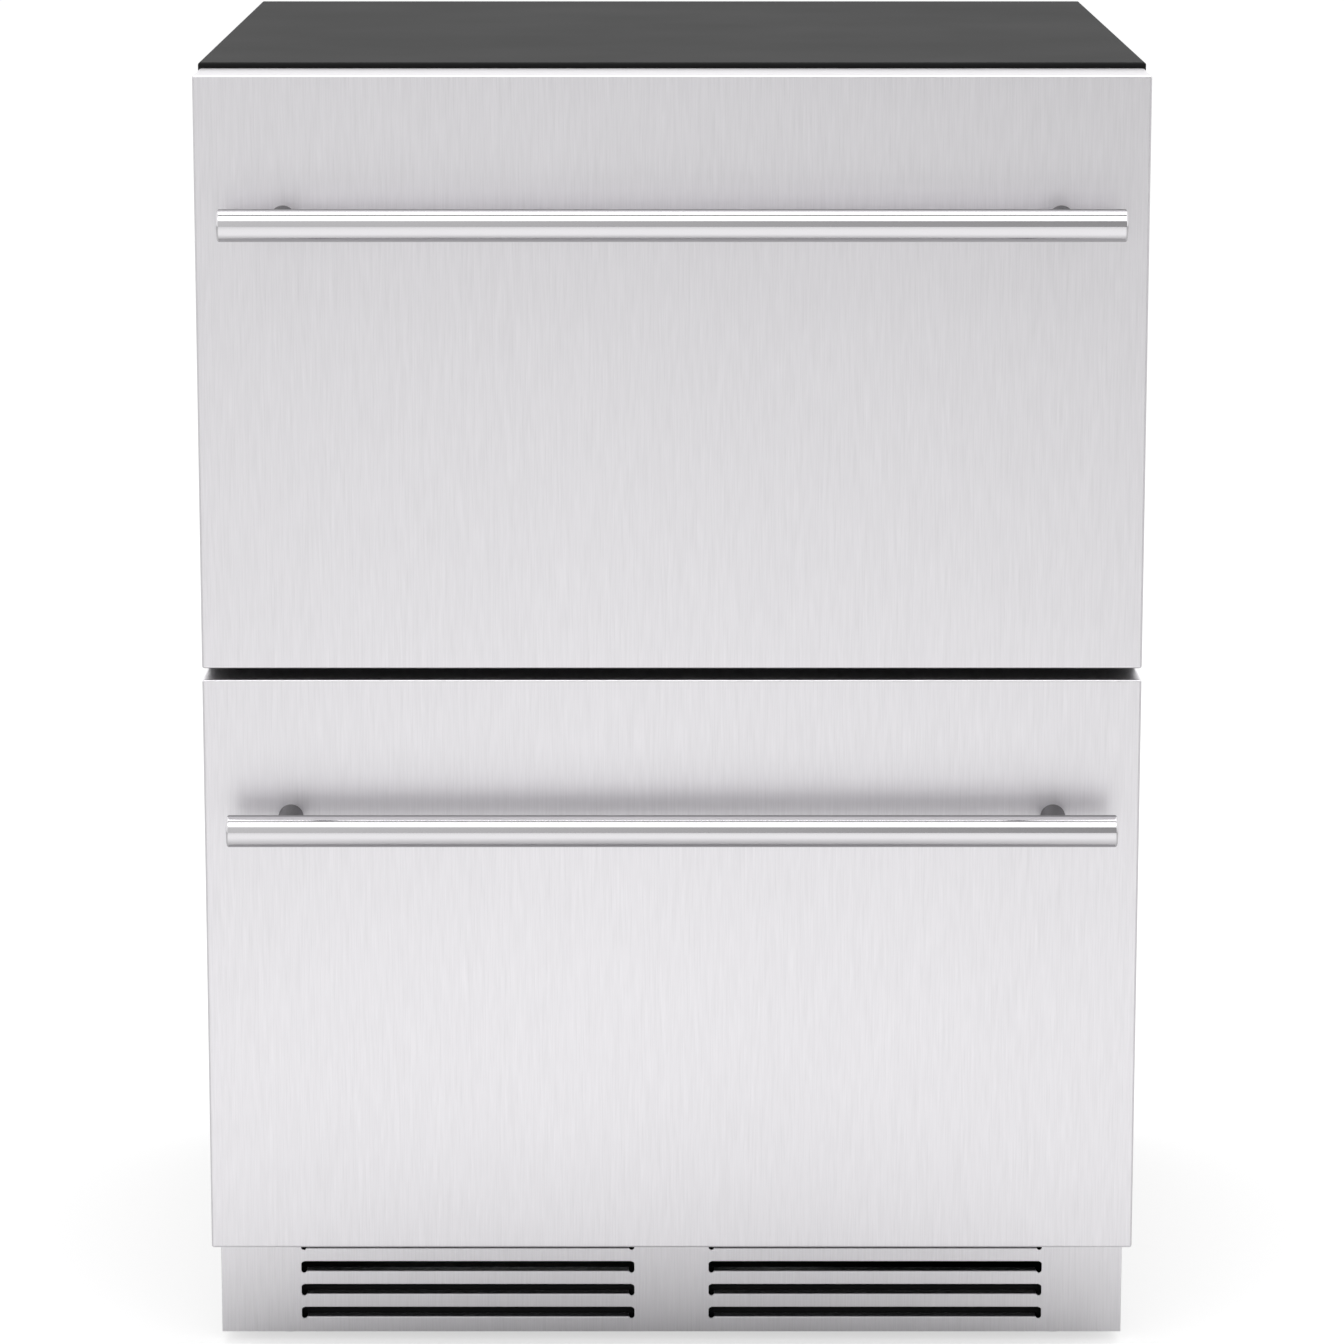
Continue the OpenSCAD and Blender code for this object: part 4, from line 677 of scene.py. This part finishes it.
def flat_stage(name, corners, material):
    """A flat stage piece through four corners."""
    mesh = bpy.data.meshes.new(name)
    mesh.from_pydata(corners, [], [(0, 1, 2, 3)])
    mesh.materials.append(material)
    piece = bpy.data.objects.new(name, mesh)
    bpy.context.scene.collection.objects.link(piece)
    return piece


def make_floor():
    """The studio's floor, on the plane that the legs stand on."""
    corners = level(FLOOR_HALF, 0.0, -FLOOR_HALF, FLOOR_HALF)
    flat_stage("studio_floor", corners, floor_finish())


def reflected_card(name, corners, left, right):
    """Grey card that only reflections see, with a tone at its left and one at its right."""
    material = bpy.data.materials.new(name)
    material.use_nodes = True
    tree = material.node_tree
    tree.nodes.clear()
    place = add_node(tree, "ShaderNodeTexCoord")
    parts = add_node(tree, "ShaderNodeSeparateXYZ")
    tree.links.new(place.outputs["Object"], parts.inputs[0])
    tone = smooth_step(tree, parts.outputs["X"], -CARD_FADE, CARD_FADE, left, right)
    glow = add_node(tree, "ShaderNodeEmission")
    tree.links.new(tone, glow.inputs["Strength"])
    result = add_node(tree, "ShaderNodeOutputMaterial")
    tree.links.new(glow.outputs[0], result.inputs["Surface"])
    card = flat_stage(name, corners, material)
    card.visible_camera = False
    card.visible_diffuse = False
    card.visible_shadow = False
    card.visible_transmission = False


def upright(half, y, low, high):
    """Corners of an upright rectangle across the view."""
    return [(-half, y, low), (half, y, low), (half, y, high), (-half, y, high)]


def level(half, z, near, far):
    """Corners of a level rectangle across the view."""
    return [(-half, near, z), (half, near, z), (half, far, z), (-half, far, z)]


def soft_box(name, place, aim, width, height, power):
    """Rectangular lamp that faces a point."""
    lamp = bpy.data.lights.new(name, "AREA")
    lamp.shape = "RECTANGLE"
    lamp.size = width
    lamp.size_y = height
    lamp.energy = power
    holder = bpy.data.objects.new(name, lamp)
    bpy.context.scene.collection.objects.link(holder)
    holder.location = place
    way = Vector(aim) - Vector(place)
    holder.rotation_euler = way.to_track_quat("-Z", "Y").to_euler()


def make_world():
    """Even fill light, and a white background for the camera and for reflections."""
    world = bpy.data.worlds.new("studio")
    bpy.context.scene.world = world
    world.use_nodes = True
    tree = world.node_tree
    tree.nodes.clear()
    path = add_node(tree, "ShaderNodeLightPath")
    seen = path.outputs["Is Camera Ray"]
    for kind in ("Is Glossy Ray", "Is Transmission Ray"):
        seen = number_node(tree, "MAXIMUM", seen, path.outputs[kind])
    # A Mix node of colours takes its two colours at inputs 6 and 7.
    mix = add_node(tree, "ShaderNodeMix", data_type="RGBA")
    tree.links.new(seen, mix.inputs[0])
    mix.inputs[6].default_value = (FILL_TONE, FILL_TONE, FILL_TONE, 1.0)
    mix.inputs[7].default_value = WHITE
    back = add_node(tree, "ShaderNodeBackground")
    tree.links.new(mix.outputs[2], back.inputs["Color"])
    result = add_node(tree, "ShaderNodeOutputWorld")
    tree.links.new(back.outputs[0], result.inputs["Surface"])


make_world()
make_floor()
reflected_card("front_wall", upright(half=7.0, y=-7.5, low=0.3, high=6.2), left=0.7, right=0.3)
reflected_card("light_gap", level(half=1.6, z=3.2, near=-0.8, far=-0.42), left=0.3, right=0.3)
soft_box(
    "front_light", place=(0.0, -1.65, 2.95), aim=(0.0, -0.32, 0.6),
    width=2.6, height=1.45, power=16.0,
)
soft_box(
    "top_light", place=(0.0, 0.35, 3.1), aim=(0.0, -0.1, 0.8),
    width=2.6, height=1.1, power=12.0,
)

# ---------------------------------------------------------------- camera

FACE_DISTANCE = 3.288
CAMERA_X = -0.006
CAMERA_HEIGHT = 1.141
CAMERA_PITCH = 0.1913
SENSOR_WIDTH = 36.0
LENS = 139.8
SHIFT_X, SHIFT_Y = 0.007, -0.03
CLIP_START, CLIP_END = 0.1, 200.0


def make_camera():
    """Long lens in front of the fronts' centre, a little above the top, as in the photograph."""
    data = bpy.data.cameras.new("camera")
    data.sensor_width = SENSOR_WIDTH
    data.lens = LENS
    data.shift_x = SHIFT_X
    data.shift_y = SHIFT_Y
    data.clip_start = CLIP_START
    data.clip_end = CLIP_END
    camera = bpy.data.objects.new("camera", data)
    bpy.context.scene.collection.objects.link(camera)
    face_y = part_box("upper_front_skin")[0].y
    camera.location = (CAMERA_X, face_y - FACE_DISTANCE, CAMERA_HEIGHT)
    camera.rotation_euler = (math.pi / 2 - CAMERA_PITCH, 0.0, 0.0)
    bpy.context.scene.camera = camera


make_camera()
bpy.context.scene.view_settings.view_transform = "Standard"
